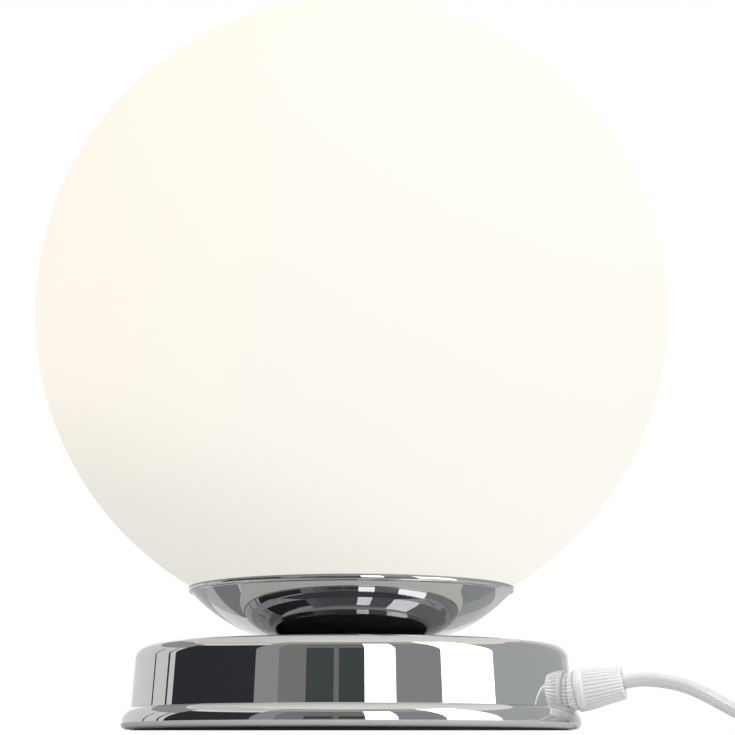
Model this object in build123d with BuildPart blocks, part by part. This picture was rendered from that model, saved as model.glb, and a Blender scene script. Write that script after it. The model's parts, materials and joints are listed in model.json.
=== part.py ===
from build123d import *
import os
from math import ceil, cos, pi, radians, sin, sqrt, tan

# Glass globe table lamp. Millimetres, +Z up, origin on the lamp's axis where the base stands.

# ---------------------------------------------------------------- driving sizes
# Globe
globe_radius = 100.0
globe_wall = 2.6
opening_radius = 38.0  # ground opening underneath
opening_round = 0.7

# Base
base_height = 26.9
base_sheet = 1.2
shoulder_radius = 4.5
flange_radius = 70.5
flange_height = 3.4  # height of the flange's widest point
flare_width = 2.7  # from the foot of the wall out to the flange's widest point
wall_foot_height = 8.0
wall_draft = 1.3  # how far the wall leans in on its way up
lip_roll = 1.9  # how far the flange turns back in underneath
lip_return = 0.9  # width of the flat turned-in edge
pad_thickness = 1.4
pad_width = 15.4
pad_margin = 0.8
plate_thickness = 1.2
plate_margin = 0.5

# Ballast and what holds the base together
ballast_room = 14.5  # between the wall's top and the ballast, for the cord grip
ballast_chamfer = 1.2
boss_radius = 4.5
boss_inset = 10.0  # from the ballast's edge in to the bosses' centres
boss_count = 3
boss_angle = 47.0
plate_screw_radius = 1.9
plate_screw_head_radius = 3.6
plate_screw_head = 1.1
plate_screw_length = 9.0

# Nipple and its nuts
nipple_radius = 5.0
nipple_bore = 3.4
nipple_foot = 2.3  # below the lower nut
nipple_tip = 1.7  # above the lampholder's boss
nipple_chamfer = 0.4
nut_across_flats = 14.0
nut_thickness = 4.0
nut_chamfer = 0.5
washer_radius = 9.0
washer_thickness = 1.0
lock_washer_radius = 8.0
lock_washer_thickness = 0.8

# Bowl
spacer_radius = 15.0
spacer_thickness = 0.6
bowl_flat_radius = 13.2
bowl_depth = 16.8
bowl_mouth_radius = 50.6
bowl_sheet = 0.8
edging_thickness = 0.5
edging_leg = 2.3

# Globe clips
clip_plate_thickness = 1.2
clip_hub_radius = 14.0
clip_arm_reach = 31.0
clip_arm_width = 12.0
clip_arm_corner = 3.0
clip_count = 3
clip_angle = 30.0
clip_width = 9.0
clip_strip = 0.6
clip_height = 20.0  # from the plate to the clip's tip
clip_inset = 6.5  # how far the clip's tip leans in from its bulge
clip_foot = 9.0
rivet_radius = 1.5
rivet_head_radius = 2.6
rivet_head = 0.9
rivet_tail = 0.7

# Lampholder, for a 27 mm screw cap
holder_base_height = 18.0
holder_neck_radius = 11.5
holder_base_radius = 20.4
holder_wall = 1.7
holder_thread_radius = 19.3
holder_thread_height = 7.0
holder_boss_radius = 7.6
holder_boss_height = 8.0
insert_thickness = 8.0
insert_tube_height = 9.0
shell_radius = 13.5  # inside the screw shell
shell_sheet = 0.5
shell_height = 22.0
shell_hole_radius = 5.6  # in its floor, round the centre contact
skirt_radius = 21.4
skirt_top = 86.0
skirt_mouth_radius = 15.0
skirt_ridges = 24
contact_width = 7.0
contact_strip = 0.5
contact_rise = 1.9
terminal_spacing = 17.0
terminal_screw_radius = 1.7
terminal_screw_head = 2.0

# Bulb
bulb_length = 108.0
bulb_ball_radius = 30.0
bulb_joint = 15.8  # from the ball's centre down to the housing
diffuser_wall = 1.2
housing_wall = 1.6
housing_collar = 5.25  # straight length above the cap
housing_waist = 21.0  # radius of the curve from the collar out to the ball
cap_radius = 13.15
cap_thread_depth = 0.55
cap_thread_pitch = 3.6
cap_thread_turns = 5
cap_height = 21.0
cap_sheet = 0.6
cap_insulator_height = 4.2
cap_contact_radius = 4.6
cap_contact_height = 1.5

# Cord grip, on an axis that leaves the wall tilted a little upwards
grip_azimuth = -13.0
grip_tilt = 10.0
grip_height = 12.4  # where its axis crosses the wall
grip_thread_radius = 4.9
grip_bore = 2.35
collar_radius = 5.7
ring_radius = 6.45
ring_start = 1.9
ring_width = 2.0
cap_start_radius = 6.2
cap_end_radius = 4.95
cap_reach = 16.6  # from the wall to the cap's mouth
cap_ribs = 32
rib_depth = 0.32
cap_mouth_radius = 2.45
cap_mouth_length = 1.6
cord_inset = 1.0  # from the cap's mouth in to where the lead starts
grip_body_reach = 9.2
grip_body_inner = 7.6
grip_washer_radius = 7.4
grip_washer_back = 2.3
locknut_thickness = 3.0
locknut_across_flats = 13.0
collet_radius = 4.0
collet_tip_radius = 3.0
collet_length = 4.6
collet_slot_width = 0.7
collet_slot_depth = 3.7

# Wiring
cord_diameter = 4.2
core_diameter = 1.8
block_length = 16.0
block_width = 18.0
block_height = 9.0
block_distance = 27.0
block_headroom = 2.1  # between the block and the ballast
block_corner = 1.6
block_bore_radius = 1.35
pole_spacing = 9.0
pole_height = 5.0  # of the wires above the base plate
block_screw_radius = 1.6
block_screw_depth = 2.0
stub_inner = 8.5  # how far the cord reaches in from the wall
core_spacing = 2.0

# Cord on the table
rest_gap = 0.05
lead_straight = 6.0  # of the lead before it bends
coil_start = (182.0, 31.5)  # its side towards the switch, where the cord goes in and comes out
coil_radius = 27.35  # of its first half turn
coil_pitch = 4.7  # between turns, and between layers
coil_layers = [3, 3, 3, 4]  # half turns that lie flat in each layer, bottom to top
tie_thickness = 0.6
tie_width = 9.0
tie_gap = 0.25

cord_entry = 5.0  # how far the cord goes into the switch and the plug

# In-line switch
switch_centre = (198.0, -20.0)
switch_length = 58.0
switch_width = 23.0
switch_height = 15.0
switch_wall = 1.8
switch_end_width = 9.0
switch_shoulder = 12.0
switch_corner = 3.0
switch_round = 1.5
switch_split = 6.4
switch_post_radius = 3.2
window_length = 19.0
window_width = 11.4
rocker_length = 16.8
rocker_width = 10.6
rocker_depth = 6.0
rocker_sweep = 16.0
rocker_valley = 2.8  # from the pivot up to the fold between its two faces
rocker_angle = 7.0  # slope of each of its two faces
pivot_radius = 1.1
pin_lug = 2.0  # width of the lugs that hold the pin's ends
contact_gap = 12.0
contact_base = 5.0
contact_sheet = 0.8
contact_tall = 4.6
pivot_depth = 3.2  # below the case's top
switch_screw_radius = 1.4
switch_screw_head = 2.6
switch_screw_spacing = 34.0

# Plug, two round pins
plug_centre = (250.0, 98.0)
plug_width = 35.0
plug_length = 34.0
plug_thickness = 13.6
plug_tail_radius = 4.4
plug_tail_length = 10.0
plug_tail_tip_radius = 3.3
tail_groove_count = 3
tail_groove = 1.0
tail_groove_radius = 3.1
plug_face_width = 26.0
plug_back_width = 15.8
plug_corner = 2.9
plug_round = 2.4
pin_spacing = 19.0
pin_radius = 2.0
pin_length = 19.0
pin_sleeve_radius = 1.8
pin_sleeve_length = 10.0
pin_root = 8.0
pin_core_radius = 1.5

# Clearances
fit = 0.05  # seated on a curved face
running = 0.3  # to anything that moves past
thread_gap = 0.04

# ---------------------------------------------------------------- places that follow
plate_bottom = pad_thickness
plate_top = plate_bottom + plate_thickness
shell_underside = base_height - base_sheet
wall_foot_radius = flange_radius - flare_width
wall_top_radius = wall_foot_radius - wall_draft  # where the wall would meet the top without its rounding
lip_radius = flange_radius - lip_roll
ballast_radius = wall_top_radius - ballast_room
ballast_bottom = plate_top + block_height + block_headroom
ballast_thickness = shell_underside - ballast_bottom
boss_circle_radius = ballast_radius - boss_inset
lower_nut_top = ballast_bottom - washer_thickness
nipple_bottom = lower_nut_top - nut_thickness - nipple_foot

bowl_bottom = base_height + spacer_thickness
bowl_floor = bowl_bottom + bowl_sheet
rim_height = bowl_bottom + bowl_depth
bowl_run = bowl_mouth_radius - bowl_flat_radius
bowl_curve = (bowl_run**2 + bowl_depth**2) / (2 * bowl_depth)
bowl_curve_centre = bowl_bottom + bowl_curve

edging_top = rim_height + edging_thickness
bowl_inner_mouth = bowl_flat_radius + sqrt((bowl_curve - bowl_sheet) ** 2 - (bowl_curve - bowl_depth) ** 2)
seat_radius = bowl_inner_mouth - edging_thickness - fit
globe_centre = edging_top + sqrt(globe_radius**2 - seat_radius**2) + fit

nut_low = bowl_floor + lock_washer_thickness
clip_plate_bottom = nut_low + nut_thickness
clip_plate_top = clip_plate_bottom + clip_plate_thickness
opening_low = globe_centre - sqrt(globe_radius**2 - opening_radius**2)
opening_high = globe_centre - sqrt((globe_radius - globe_wall) ** 2 - opening_radius**2)
bulge_height = (opening_low + opening_high) / 2
bulge_radius = sqrt((opening_radius - running) ** 2 - (clip_width / 2) ** 2)
rivet_circle_radius = clip_arm_reach - clip_foot / 2

holder_low = clip_plate_top
nipple_top = holder_low + holder_boss_height + nipple_tip
insert_low = holder_low + holder_base_height
insert_top = insert_low + insert_thickness
shell_top = insert_top + shell_height
bulb_tip = insert_top + contact_rise + rest_gap
bulb_top = bulb_tip + bulb_length
ball_centre = bulb_top - bulb_ball_radius
joint_height = ball_centre - bulb_joint
joint_radius = sqrt(bulb_ball_radius**2 - bulb_joint**2)
cap_bottom = bulb_tip + cap_contact_height + cap_insulator_height
cap_top = cap_bottom + cap_height

cord_radius = cord_diameter / 2
core_radius = core_diameter / 2
floor_level = cord_radius + rest_gap
coil_low = tie_thickness + tie_gap + cord_radius


def wall_radius(height):
    """Outside radius of the base's drafted wall."""
    share = (height - wall_foot_height) / (base_height - wall_foot_height)
    return wall_foot_radius + share * (wall_top_radius - wall_foot_radius)


grip_flat = Vector(cos(radians(grip_azimuth)), sin(radians(grip_azimuth)), 0)
grip_axis = grip_flat * cos(radians(grip_tilt)) + Vector(0, 0, sin(radians(grip_tilt)))
grip_origin = grip_flat * wall_radius(grip_height) + Vector(0, 0, grip_height)
grip_side = Vector(-grip_flat.Y, grip_flat.X, 0)
grip_plane = Plane(origin=grip_origin, x_dir=grip_side, z_dir=grip_axis)


def grip_point(distance, aside=0.0):
    """A point on the grip's axis, so far outside the wall."""
    return grip_origin + grip_axis * distance + grip_side * aside


# ---------------------------------------------------------------- helpers
standing = (Align.CENTER, Align.CENTER, Align.MIN)


def disc(radius, low, thickness):
    """A round plate on the lamp's axis, added to the part in hand."""
    with Locations((0, 0, low)):
        Cylinder(radius, thickness, align=standing)


def bore(radius, low, thickness):
    """A round hole on the lamp's axis."""
    with Locations((0, 0, low)):
        Cylinder(radius, thickness, align=standing, mode=Mode.SUBTRACT)


def star(outer, depth, teeth):
    """The corners of a ribbed circle."""
    step = pi / teeth
    return [
        ((outer - depth * (i % 2)) * cos(i * step), (outer - depth * (i % 2)) * sin(i * step))
        for i in range(2 * teeth)
    ]


def corner_radii(route):
    """Each corner's radius: 0.45 of its shorter run, over the tangent of half its turn."""
    points = [Vector(*p) for p in route]
    radii = []
    for before, here, after in zip(points, points[1:], points[2:]):
        turn = radians((here - before).get_angle(after - here))
        radii.append(0.45 * min((here - before).length, (after - here).length) / tan(turn / 2))
    return radii


def tube(route, radius):
    """A round tube along straight runs joined by tangent arcs."""
    with BuildPart() as made:
        with BuildLine() as path:
            FilletPolyline(*route, radius=corner_radii(route))
        start = path.wires()[0]
        with BuildSketch(Plane(origin=start @ 0, z_dir=start % 0)):
            Circle(radius)
        sweep(path=start)
    return made.part, start.length


def report_tube(name, route, radius, part, length):
    """Prints what shows that a tube is sound."""
    share = part.volume / (pi * radius**2 * length)
    tightest = min(corner_radii(route))
    print(f"{name}: length {length:.1f}, tightest radius {tightest:.1f}, volume share {share:.4f}")


# ---------------------------------------------------------------- base
with BuildPart() as base_shell:
    with BuildSketch(Plane.XZ) as shell_section:
        with BuildLine():
            top = FilletPolyline(
                (nipple_radius + fit, base_height),
                (wall_top_radius, base_height),
                (wall_foot_radius, wall_foot_height),
                radius=[shoulder_radius],
            )
            flare = TangentArc((flange_radius, flange_height), top @ 1, tangent=(0, 1))
            roll = TangentArc((flange_radius, flange_height), (lip_radius, plate_bottom), tangent=(0, -1))
            edge = Line(roll @ 1, (lip_radius - lip_return, plate_bottom))
            inner_edge = Line(edge @ 1, (lip_radius - lip_return, plate_bottom + base_sheet))
            inner_roll = Line(inner_edge @ 1, (lip_radius, plate_bottom + base_sheet))
            inner_tip = Line(inner_roll @ 1, (flange_radius - base_sheet, flange_height))
            inner_flare = TangentArc(
                inner_tip @ 1, (wall_foot_radius - base_sheet, wall_foot_height), tangent=(0, 1)
            )
            FilletPolyline(
                inner_flare @ 1,
                (wall_top_radius - base_sheet, shell_underside),
                (nipple_radius + fit, shell_underside),
                radius=[shoulder_radius - base_sheet],
            )
            Line((nipple_radius + fit, shell_underside), top @ 0)
        make_face()
    revolve(axis=Axis.Z)
    with BuildSketch(grip_plane.offset(-grip_body_inner)):
        Circle(grip_thread_radius + thread_gap)
    extrude(amount=grip_body_inner + ring_start, mode=Mode.SUBTRACT)
base_shell.part.label = "base_shell"

plate_radius = lip_radius - lip_return - plate_margin
with BuildPart() as base_plate:
    disc(plate_radius, plate_bottom, plate_thickness)
    with PolarLocations(boss_circle_radius, boss_count, start_angle=boss_angle):
        with Locations((0, 0, plate_bottom)):
            Cylinder(plate_screw_radius + fit, plate_thickness, align=standing, mode=Mode.SUBTRACT)
base_plate.part.label = "base_plate"

pad_radius = plate_radius - pad_margin
with BuildPart() as rubber_pad:
    disc(pad_radius, 0, pad_thickness)
    bore(pad_radius - pad_width, 0, pad_thickness)
    fillet(rubber_pad.faces().sort_by(Axis.Z)[0].outer_wire().edges(), pad_thickness / 3)
rubber_pad.part.label = "rubber_pad"

with BuildPart() as ballast:
    disc(ballast_radius, ballast_bottom, ballast_thickness)
    chamfer(ballast.faces().sort_by(Axis.Z)[0].edges(), ballast_chamfer)
    with PolarLocations(boss_circle_radius, boss_count, start_angle=boss_angle):
        with Locations((0, 0, plate_top)):
            Cylinder(boss_radius, ballast_bottom - plate_top, align=standing)
            Cylinder(plate_screw_radius + fit, plate_screw_length, align=standing, mode=Mode.SUBTRACT)
    bore(nipple_radius + fit, ballast_bottom, ballast_thickness)
ballast.part.label = "ballast"

with BuildPart() as base_plate_screws:
    with PolarLocations(boss_circle_radius, boss_count, start_angle=boss_angle):
        with Locations((0, 0, plate_bottom - plate_screw_head)):
            Cylinder(plate_screw_head_radius, plate_screw_head, align=standing)
            Cylinder(
                plate_screw_radius,
                plate_screw_head + plate_thickness + plate_screw_length - fit,
                align=standing,
            )
            Box(
                plate_screw_head_radius,
                plate_screw_head / 2,
                plate_screw_head / 2,
                align=standing,
                mode=Mode.SUBTRACT,
            )
base_plate_screws.part.label = "base_plate_screws"

# ---------------------------------------------------------------- nipple, nuts and washers
with BuildPart() as nipple:
    disc(nipple_radius, nipple_bottom, nipple_top - nipple_bottom)
    chamfer(nipple.edges().group_by(Axis.Z)[0] + nipple.edges().group_by(Axis.Z)[-1], nipple_chamfer)
    bore(nipple_bore, nipple_bottom, nipple_top - nipple_bottom)
nipple.part.label = "nipple"


def hexagon_nut(across_flats, low, thickness, hole):
    """A hexagon nut on the lamp's axis."""
    with BuildPart() as nut:
        with BuildSketch(Plane.XY.offset(low)):
            RegularPolygon(across_flats / 2, 6, major_radius=False)
        extrude(amount=thickness)
        ends = nut.faces().sort_by(Axis.Z)
        chamfer(ends[0].edges() + ends[-1].edges(), nut_chamfer)
        bore(hole, low, thickness)
    return nut


def flat_washer(radius, low, thickness):
    """A washer on the nipple."""
    with BuildPart() as washer:
        disc(radius, low, thickness)
        bore(nipple_radius + fit, low, thickness)
    return washer


lower_washer = flat_washer(washer_radius, lower_nut_top, washer_thickness)
lower_washer.part.label = "lower_washer"

nut_hole = nipple_radius + thread_gap
lower_nut = hexagon_nut(nut_across_flats, lower_nut_top - nut_thickness, nut_thickness, nut_hole)
lower_nut.part.label = "lower_nut"

lock_washer = flat_washer(lock_washer_radius, bowl_floor, lock_washer_thickness)
lock_washer.part.label = "lock_washer"

upper_nut = hexagon_nut(nut_across_flats, nut_low, nut_thickness, nut_hole)
upper_nut.part.label = "upper_nut"

bowl_spacer = flat_washer(spacer_radius, base_height, spacer_thickness)
bowl_spacer.part.label = "bowl_spacer"

# ---------------------------------------------------------------- bowl and its edging
with BuildPart() as bowl:
    with BuildSketch(Plane.XZ):
        with BuildLine():
            floor_line = Line((nipple_radius + fit, bowl_bottom), (bowl_flat_radius, bowl_bottom))
            side = TangentArc(floor_line @ 1, (bowl_mouth_radius, rim_height), tangent=(1, 0))
            inner_floor = Line((nipple_radius + fit, bowl_floor), (bowl_flat_radius, bowl_floor))
            inner_side = TangentArc(inner_floor @ 1, (bowl_inner_mouth, rim_height), tangent=(1, 0))
            Line(side @ 1, inner_side @ 1)
            Line(floor_line @ 0, inner_floor @ 0)
        make_face()
    revolve(axis=Axis.Z)
    bowl.part.label = "bowl"

# The edging covers the rim and lines the bowl just inside it.
edging_outer = bowl_curve - bowl_sheet - fit
with BuildPart() as rim_edging:
    with BuildSketch(Plane.XZ):
        with Locations((bowl_flat_radius, bowl_curve_centre)):
            Circle(edging_outer)
            Circle(edging_outer - edging_thickness, mode=Mode.SUBTRACT)
        with Locations((bowl_flat_radius, rim_height - edging_leg)):
            Rectangle(bowl_mouth_radius, edging_leg, align=(Align.MIN, Align.MIN), mode=Mode.INTERSECT)
        with Locations((seat_radius, rim_height)):
            Rectangle(bowl_mouth_radius - seat_radius - fit, edging_thickness, align=(Align.MIN, Align.MIN))
    revolve(axis=Axis.Z)
rim_edging.part.label = "rim_edging"

# ---------------------------------------------------------------- globe
with BuildPart() as glass_globe:
    with Locations((0, 0, globe_centre)):
        Sphere(globe_radius)
        Sphere(globe_radius - globe_wall, mode=Mode.SUBTRACT)
    bore(opening_radius, globe_centre - globe_radius, globe_radius)
    fillet(glass_globe.edges().filter_by(GeomType.CIRCLE).group_by(SortBy.RADIUS)[0], opening_round)
glass_globe.part.label = "glass_globe"

# ---------------------------------------------------------------- clip plate, clips and rivets
with BuildPart() as clip_plate:
    disc(clip_hub_radius, clip_plate_bottom, clip_plate_thickness)
    with BuildSketch(Plane.XY.offset(clip_plate_bottom)):
        with PolarLocations(0, clip_count, start_angle=clip_angle):
            with Locations((clip_arm_reach / 2, 0)):
                Rectangle(clip_arm_reach, clip_arm_width)
    extrude(amount=clip_plate_thickness)
    upright = clip_plate.edges().filter_by(Axis.Z).sort_by(SortBy.DISTANCE)
    fillet(upright[-2 * clip_count :], clip_arm_corner)
    bore(nipple_radius + fit, clip_plate_bottom, clip_plate_thickness)
    with PolarLocations(rivet_circle_radius, clip_count, start_angle=clip_angle):
        with Locations((0, 0, clip_plate_bottom)):
            Cylinder(rivet_radius + fit, clip_plate_thickness, align=standing, mode=Mode.SUBTRACT)
clip_plate.part.label = "clip_plate"


def spring_clip(angle):
    """A bent spring strip that stands in the globe's opening and presses on its ground edge."""
    outward = Vector(cos(radians(angle)), sin(radians(angle)), 0)
    strip_plane = Plane(origin=(0, 0, 0), x_dir=outward, z_dir=(outward.Y, -outward.X, 0))
    foot_height = clip_plate_top + clip_strip / 2
    bulge = bulge_radius - clip_strip / 2
    with BuildPart() as clip:
        with BuildSketch(strip_plane):
            with BuildLine():
                FilletPolyline(
                    (clip_arm_reach - clip_foot, foot_height),
                    (clip_arm_reach - clip_strip, foot_height),
                    (clip_arm_reach + clip_strip, foot_height + clip_strip * 3),
                    (bulge, bulge_height),
                    (bulge - clip_inset, clip_plate_top + clip_height),
                    radius=[clip_strip * 1.5, clip_strip * 2, clip_strip * 3],
                )
                offset(amount=clip_strip / 2, kind=Kind.INTERSECTION, mode=Mode.REPLACE)
            make_face()
        extrude(amount=clip_width / 2, both=True)
        with Locations(outward * rivet_circle_radius + Vector(0, 0, clip_plate_top)):
            Cylinder(rivet_radius + fit, clip_height / 4, mode=Mode.SUBTRACT)
    return clip


spring_clips = []
for turn in range(clip_count):
    clip = spring_clip(clip_angle + turn * 360 / clip_count)
    clip.part.label = f"spring_clip_{turn + 1}"
    spring_clips.append(clip)

with BuildPart() as clip_rivets:
    with PolarLocations(rivet_circle_radius, clip_count, start_angle=clip_angle):
        with Locations((0, 0, clip_plate_bottom - rivet_tail)):
            Cylinder(rivet_head_radius, rivet_tail, align=standing)
            Cylinder(
                rivet_radius,
                rivet_tail + clip_plate_thickness + clip_strip + rivet_head,
                align=standing,
            )
        with Locations((0, 0, clip_plate_top + clip_strip)):
            Cylinder(rivet_head_radius, rivet_head, align=standing)
    fillet(clip_rivets.faces().filter_by(Axis.Z).group_by(Axis.Z)[-1].edges(), rivet_head / 2)
clip_rivets.part.label = "clip_rivets"

# ---------------------------------------------------------------- lampholder
with BuildPart() as holder_base:
    with BuildSketch(Plane.XZ):
        with BuildLine():
            dome = FilletPolyline(
                (nipple_radius + thread_gap, holder_low),
                (holder_neck_radius, holder_low),
                (holder_base_radius, holder_low + holder_base_height / 2),
                (holder_base_radius, insert_low - holder_thread_height / 2),
                radius=[holder_wall * 2, holder_wall * 3],
            )
            Polyline(
                dome @ 1,
                (holder_thread_radius, insert_low - holder_thread_height / 2),
                (holder_thread_radius, insert_low + holder_thread_height / 2),
                (holder_thread_radius - holder_wall, insert_low + holder_thread_height / 2),
                (holder_thread_radius - holder_wall, holder_low + holder_base_height / 2 + holder_wall),
                (holder_neck_radius, holder_low + holder_wall * 2),
                (holder_boss_radius, holder_low + holder_wall * 2),
                (holder_boss_radius, holder_low + holder_boss_height),
                (nipple_radius + thread_gap, holder_low + holder_boss_height),
                dome @ 0,
            )
        make_face()
    revolve(axis=Axis.Z)
holder_base.part.label = "holder_base"

insert_radius = holder_thread_radius - holder_wall - fit
screw_places = [grip_side * (side * terminal_spacing / 2) + Vector(0, 0, insert_low) for side in (-1, 1)]
with BuildPart() as holder_insert:
    disc(insert_radius, insert_low, insert_thickness)
    disc(shell_radius + shell_sheet + holder_wall, insert_top, insert_tube_height)
    bore(shell_radius + shell_sheet + fit, insert_top, insert_tube_height)
    bore(contact_width / 2, insert_low, contact_rise)
    with Locations(*screw_places):
        Cylinder(terminal_screw_radius + fit, insert_thickness / 2, align=standing, mode=Mode.SUBTRACT)
holder_insert.part.label = "holder_insert"

with BuildPart() as holder_screw_shell:
    disc(shell_radius + shell_sheet, insert_top + fit, shell_height)
    bore(shell_radius, insert_top + fit, shell_height)
    with Locations((0, 0, insert_top + fit)):
        Cylinder(shell_radius + shell_sheet / 2, shell_sheet, align=standing)
        Cylinder(shell_hole_radius, shell_sheet, align=standing, mode=Mode.SUBTRACT)
holder_screw_shell.part.label = "holder_screw_shell"

with BuildPart() as holder_contact:
    with BuildSketch(Plane.XZ):
        with BuildLine():
            FilletPolyline(
                (-contact_width / 2, insert_top + contact_strip / 2),
                (-contact_width / 4, insert_top + contact_strip / 2),
                (0, insert_top + contact_rise - contact_strip / 2),
                (contact_width / 2, insert_top + contact_rise - contact_strip),
                radius=[contact_strip, contact_strip],
            )
            offset(amount=contact_strip / 2, kind=Kind.INTERSECTION, mode=Mode.REPLACE)
        make_face()
    extrude(amount=contact_width / 4, both=True)
holder_contact.part.label = "holder_contact"

with BuildPart() as holder_terminal_screws:
    with Locations(*screw_places):
        Cylinder(terminal_screw_radius, insert_thickness / 2, align=standing)
        Cylinder(
            terminal_screw_radius * 1.6, terminal_screw_head, align=(Align.CENTER, Align.CENTER, Align.MAX)
        )
holder_terminal_screws.part.label = "holder_terminal_screws"

skirt_low = insert_low - holder_thread_height / 2 + fit
with BuildPart() as holder_skirt:
    with BuildSketch(Plane.XY.offset(skirt_low)):
        Polygon(*star(skirt_radius, fit * 8, skirt_ridges), align=None)
    extrude(amount=skirt_top - skirt_low)
    fillet(holder_skirt.faces().sort_by(Axis.Z)[-1].edges(), holder_wall / 4)
    bore(holder_thread_radius + fit, skirt_low, holder_thread_height * 2)
    bore(skirt_radius - holder_wall * 1.6, skirt_low, skirt_top - skirt_low - holder_wall)
    bore(skirt_mouth_radius, skirt_low, skirt_top - skirt_low)
holder_skirt.part.label = "holder_skirt"

# ---------------------------------------------------------------- bulb
with BuildPart() as bulb_contact:
    disc(cap_contact_radius, bulb_tip, cap_contact_height)
    fillet(bulb_contact.faces().sort_by(Axis.Z)[0].edges(), cap_contact_height / 2)
bulb_contact.part.label = "bulb_contact"

with BuildPart() as bulb_insulator:
    with BuildSketch(Plane.XZ):
        with BuildLine():
            Polyline(
                (0, bulb_tip + cap_contact_height),
                (cap_contact_radius * 1.2, bulb_tip + cap_contact_height),
                (cap_radius - cap_thread_depth - cap_sheet, cap_bottom),
                (0, cap_bottom),
                close=True,
            )
        make_face()
    revolve(axis=Axis.Z)
bulb_insulator.part.label = "bulb_insulator"

cap_root = cap_radius - cap_thread_depth
with BuildPart() as bulb_cap:
    with BuildSketch(Plane.XZ):
        with BuildLine():
            start = Line((cap_root - cap_sheet * 2, cap_bottom), (cap_root, cap_bottom + cap_sheet * 2))
            place = start @ 1
            for turn in range(cap_thread_turns):
                low = cap_bottom + cap_sheet * 2 + turn * cap_thread_pitch
                crest = ThreePointArc(
                    place, (cap_radius, low + cap_thread_pitch / 2), (cap_root, low + cap_thread_pitch)
                )
                place = crest @ 1
            Polyline(place, (cap_root, cap_top), (cap_root - cap_sheet * 2, cap_top), start @ 0)
        make_face()
    revolve(axis=Axis.Z)
bulb_cap.part.label = "bulb_cap"

housing_root = cap_radius + cap_sheet
with BuildPart() as bulb_housing:
    with BuildSketch(Plane.XZ):
        with BuildLine():
            swell = FilletPolyline(
                (housing_root, cap_top),
                (housing_root + cap_sheet, cap_top + housing_collar),
                (joint_radius, joint_height),
                radius=[housing_waist],
            )
            Polyline(
                swell @ 1,
                (joint_radius - housing_wall, joint_height),
                (housing_root - housing_wall / 2, cap_top + housing_collar),
                (housing_root - housing_wall / 2, cap_top + housing_wall),
                (0, cap_top + housing_wall),
                (0, cap_top),
                swell @ 0,
            )
        make_face()
    revolve(axis=Axis.Z)
bulb_housing.part.label = "bulb_housing"

with BuildPart() as bulb_diffuser:
    with Locations((0, 0, ball_centre)):
        Sphere(bulb_ball_radius)
        Sphere(bulb_ball_radius - diffuser_wall, mode=Mode.SUBTRACT)
    with Locations((0, 0, joint_height)):
        Box(
            bulb_ball_radius * 2,
            bulb_ball_radius * 2,
            bulb_ball_radius,
            align=(Align.CENTER, Align.CENTER, Align.MAX),
            mode=Mode.SUBTRACT,
        )
bulb_diffuser.part.label = "bulb_diffuser"


# ---------------------------------------------------------------- cord grip
grip_line = Axis(grip_origin, grip_axis)
grip_section = Plane(origin=grip_origin, x_dir=grip_side, z_dir=grip_side.cross(grip_axis))


def along_grip(radius, start, end, mode=Mode.ADD):
    """A round length on the grip's axis, added to the part in hand or cut from it."""
    with Locations(grip_plane.offset(start)):
        Cylinder(radius, end - start, align=standing, mode=mode)


def base_form(grown):
    """The solid that the base's outside encloses, with its wall moved outwards."""
    with BuildPart() as form:
        with BuildSketch(Plane.XZ):
            with BuildLine():
                wall = Polyline(
                    (0, base_height),
                    (wall_top_radius + grown, base_height),
                    (wall_foot_radius + grown, wall_foot_height),
                )
                flare = TangentArc((flange_radius + grown, flange_height), wall @ 1, tangent=(0, 1))
                Polyline(flare @ 0, (0, flange_height), wall @ 0)
            make_face()
        revolve(axis=Axis.Z)
    return form.part


with BuildPart() as grip_body:
    with BuildSketch(grip_plane.offset(-base_sheet)):
        Polygon(*star(collar_radius, rib_depth, cap_ribs), align=None)
    extrude(amount=base_sheet + ring_start)
    add(base_form(fit), mode=Mode.SUBTRACT)
    along_grip(grip_thread_radius, -grip_body_inner, grip_body_reach)
    along_grip(grip_bore, -grip_body_inner, grip_body_reach, Mode.SUBTRACT)
grip_body.part.label = "grip_body"

with BuildPart() as grip_seal:
    along_grip(grip_washer_radius, -grip_washer_back, 0)
    add(base_form(-base_sheet - fit), mode=Mode.INTERSECT)
    along_grip(grip_thread_radius + fit, -grip_washer_back, 0, Mode.SUBTRACT)
grip_seal.part.label = "grip_seal"

with BuildPart() as grip_locknut:
    with BuildSketch(grip_plane.offset(-grip_washer_back - locknut_thickness)):
        RegularPolygon(locknut_across_flats / 2, 6, major_radius=False)
        Circle(grip_thread_radius + thread_gap, mode=Mode.SUBTRACT)
    extrude(amount=locknut_thickness)
grip_locknut.part.label = "grip_locknut"

collet_start = grip_body_reach + fit
collet_end = collet_start + collet_length
with BuildPart() as grip_collet:
    with BuildSketch(grip_section):
        with BuildLine():
            Polyline(
                (cord_radius + fit, collet_start),
                (collet_radius, collet_start),
                (collet_tip_radius, collet_end),
                (cord_radius + fit, collet_end),
                close=True,
            )
        make_face()
    revolve(axis=grip_line)
    with Locations(grip_plane.offset(collet_end)):
        Box(2 * collet_radius, collet_slot_width, 2 * collet_slot_depth, mode=Mode.SUBTRACT)
        Box(collet_slot_width, 2 * collet_radius, 2 * collet_slot_depth, mode=Mode.SUBTRACT)
grip_collet.part.label = "grip_collet"

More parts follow.
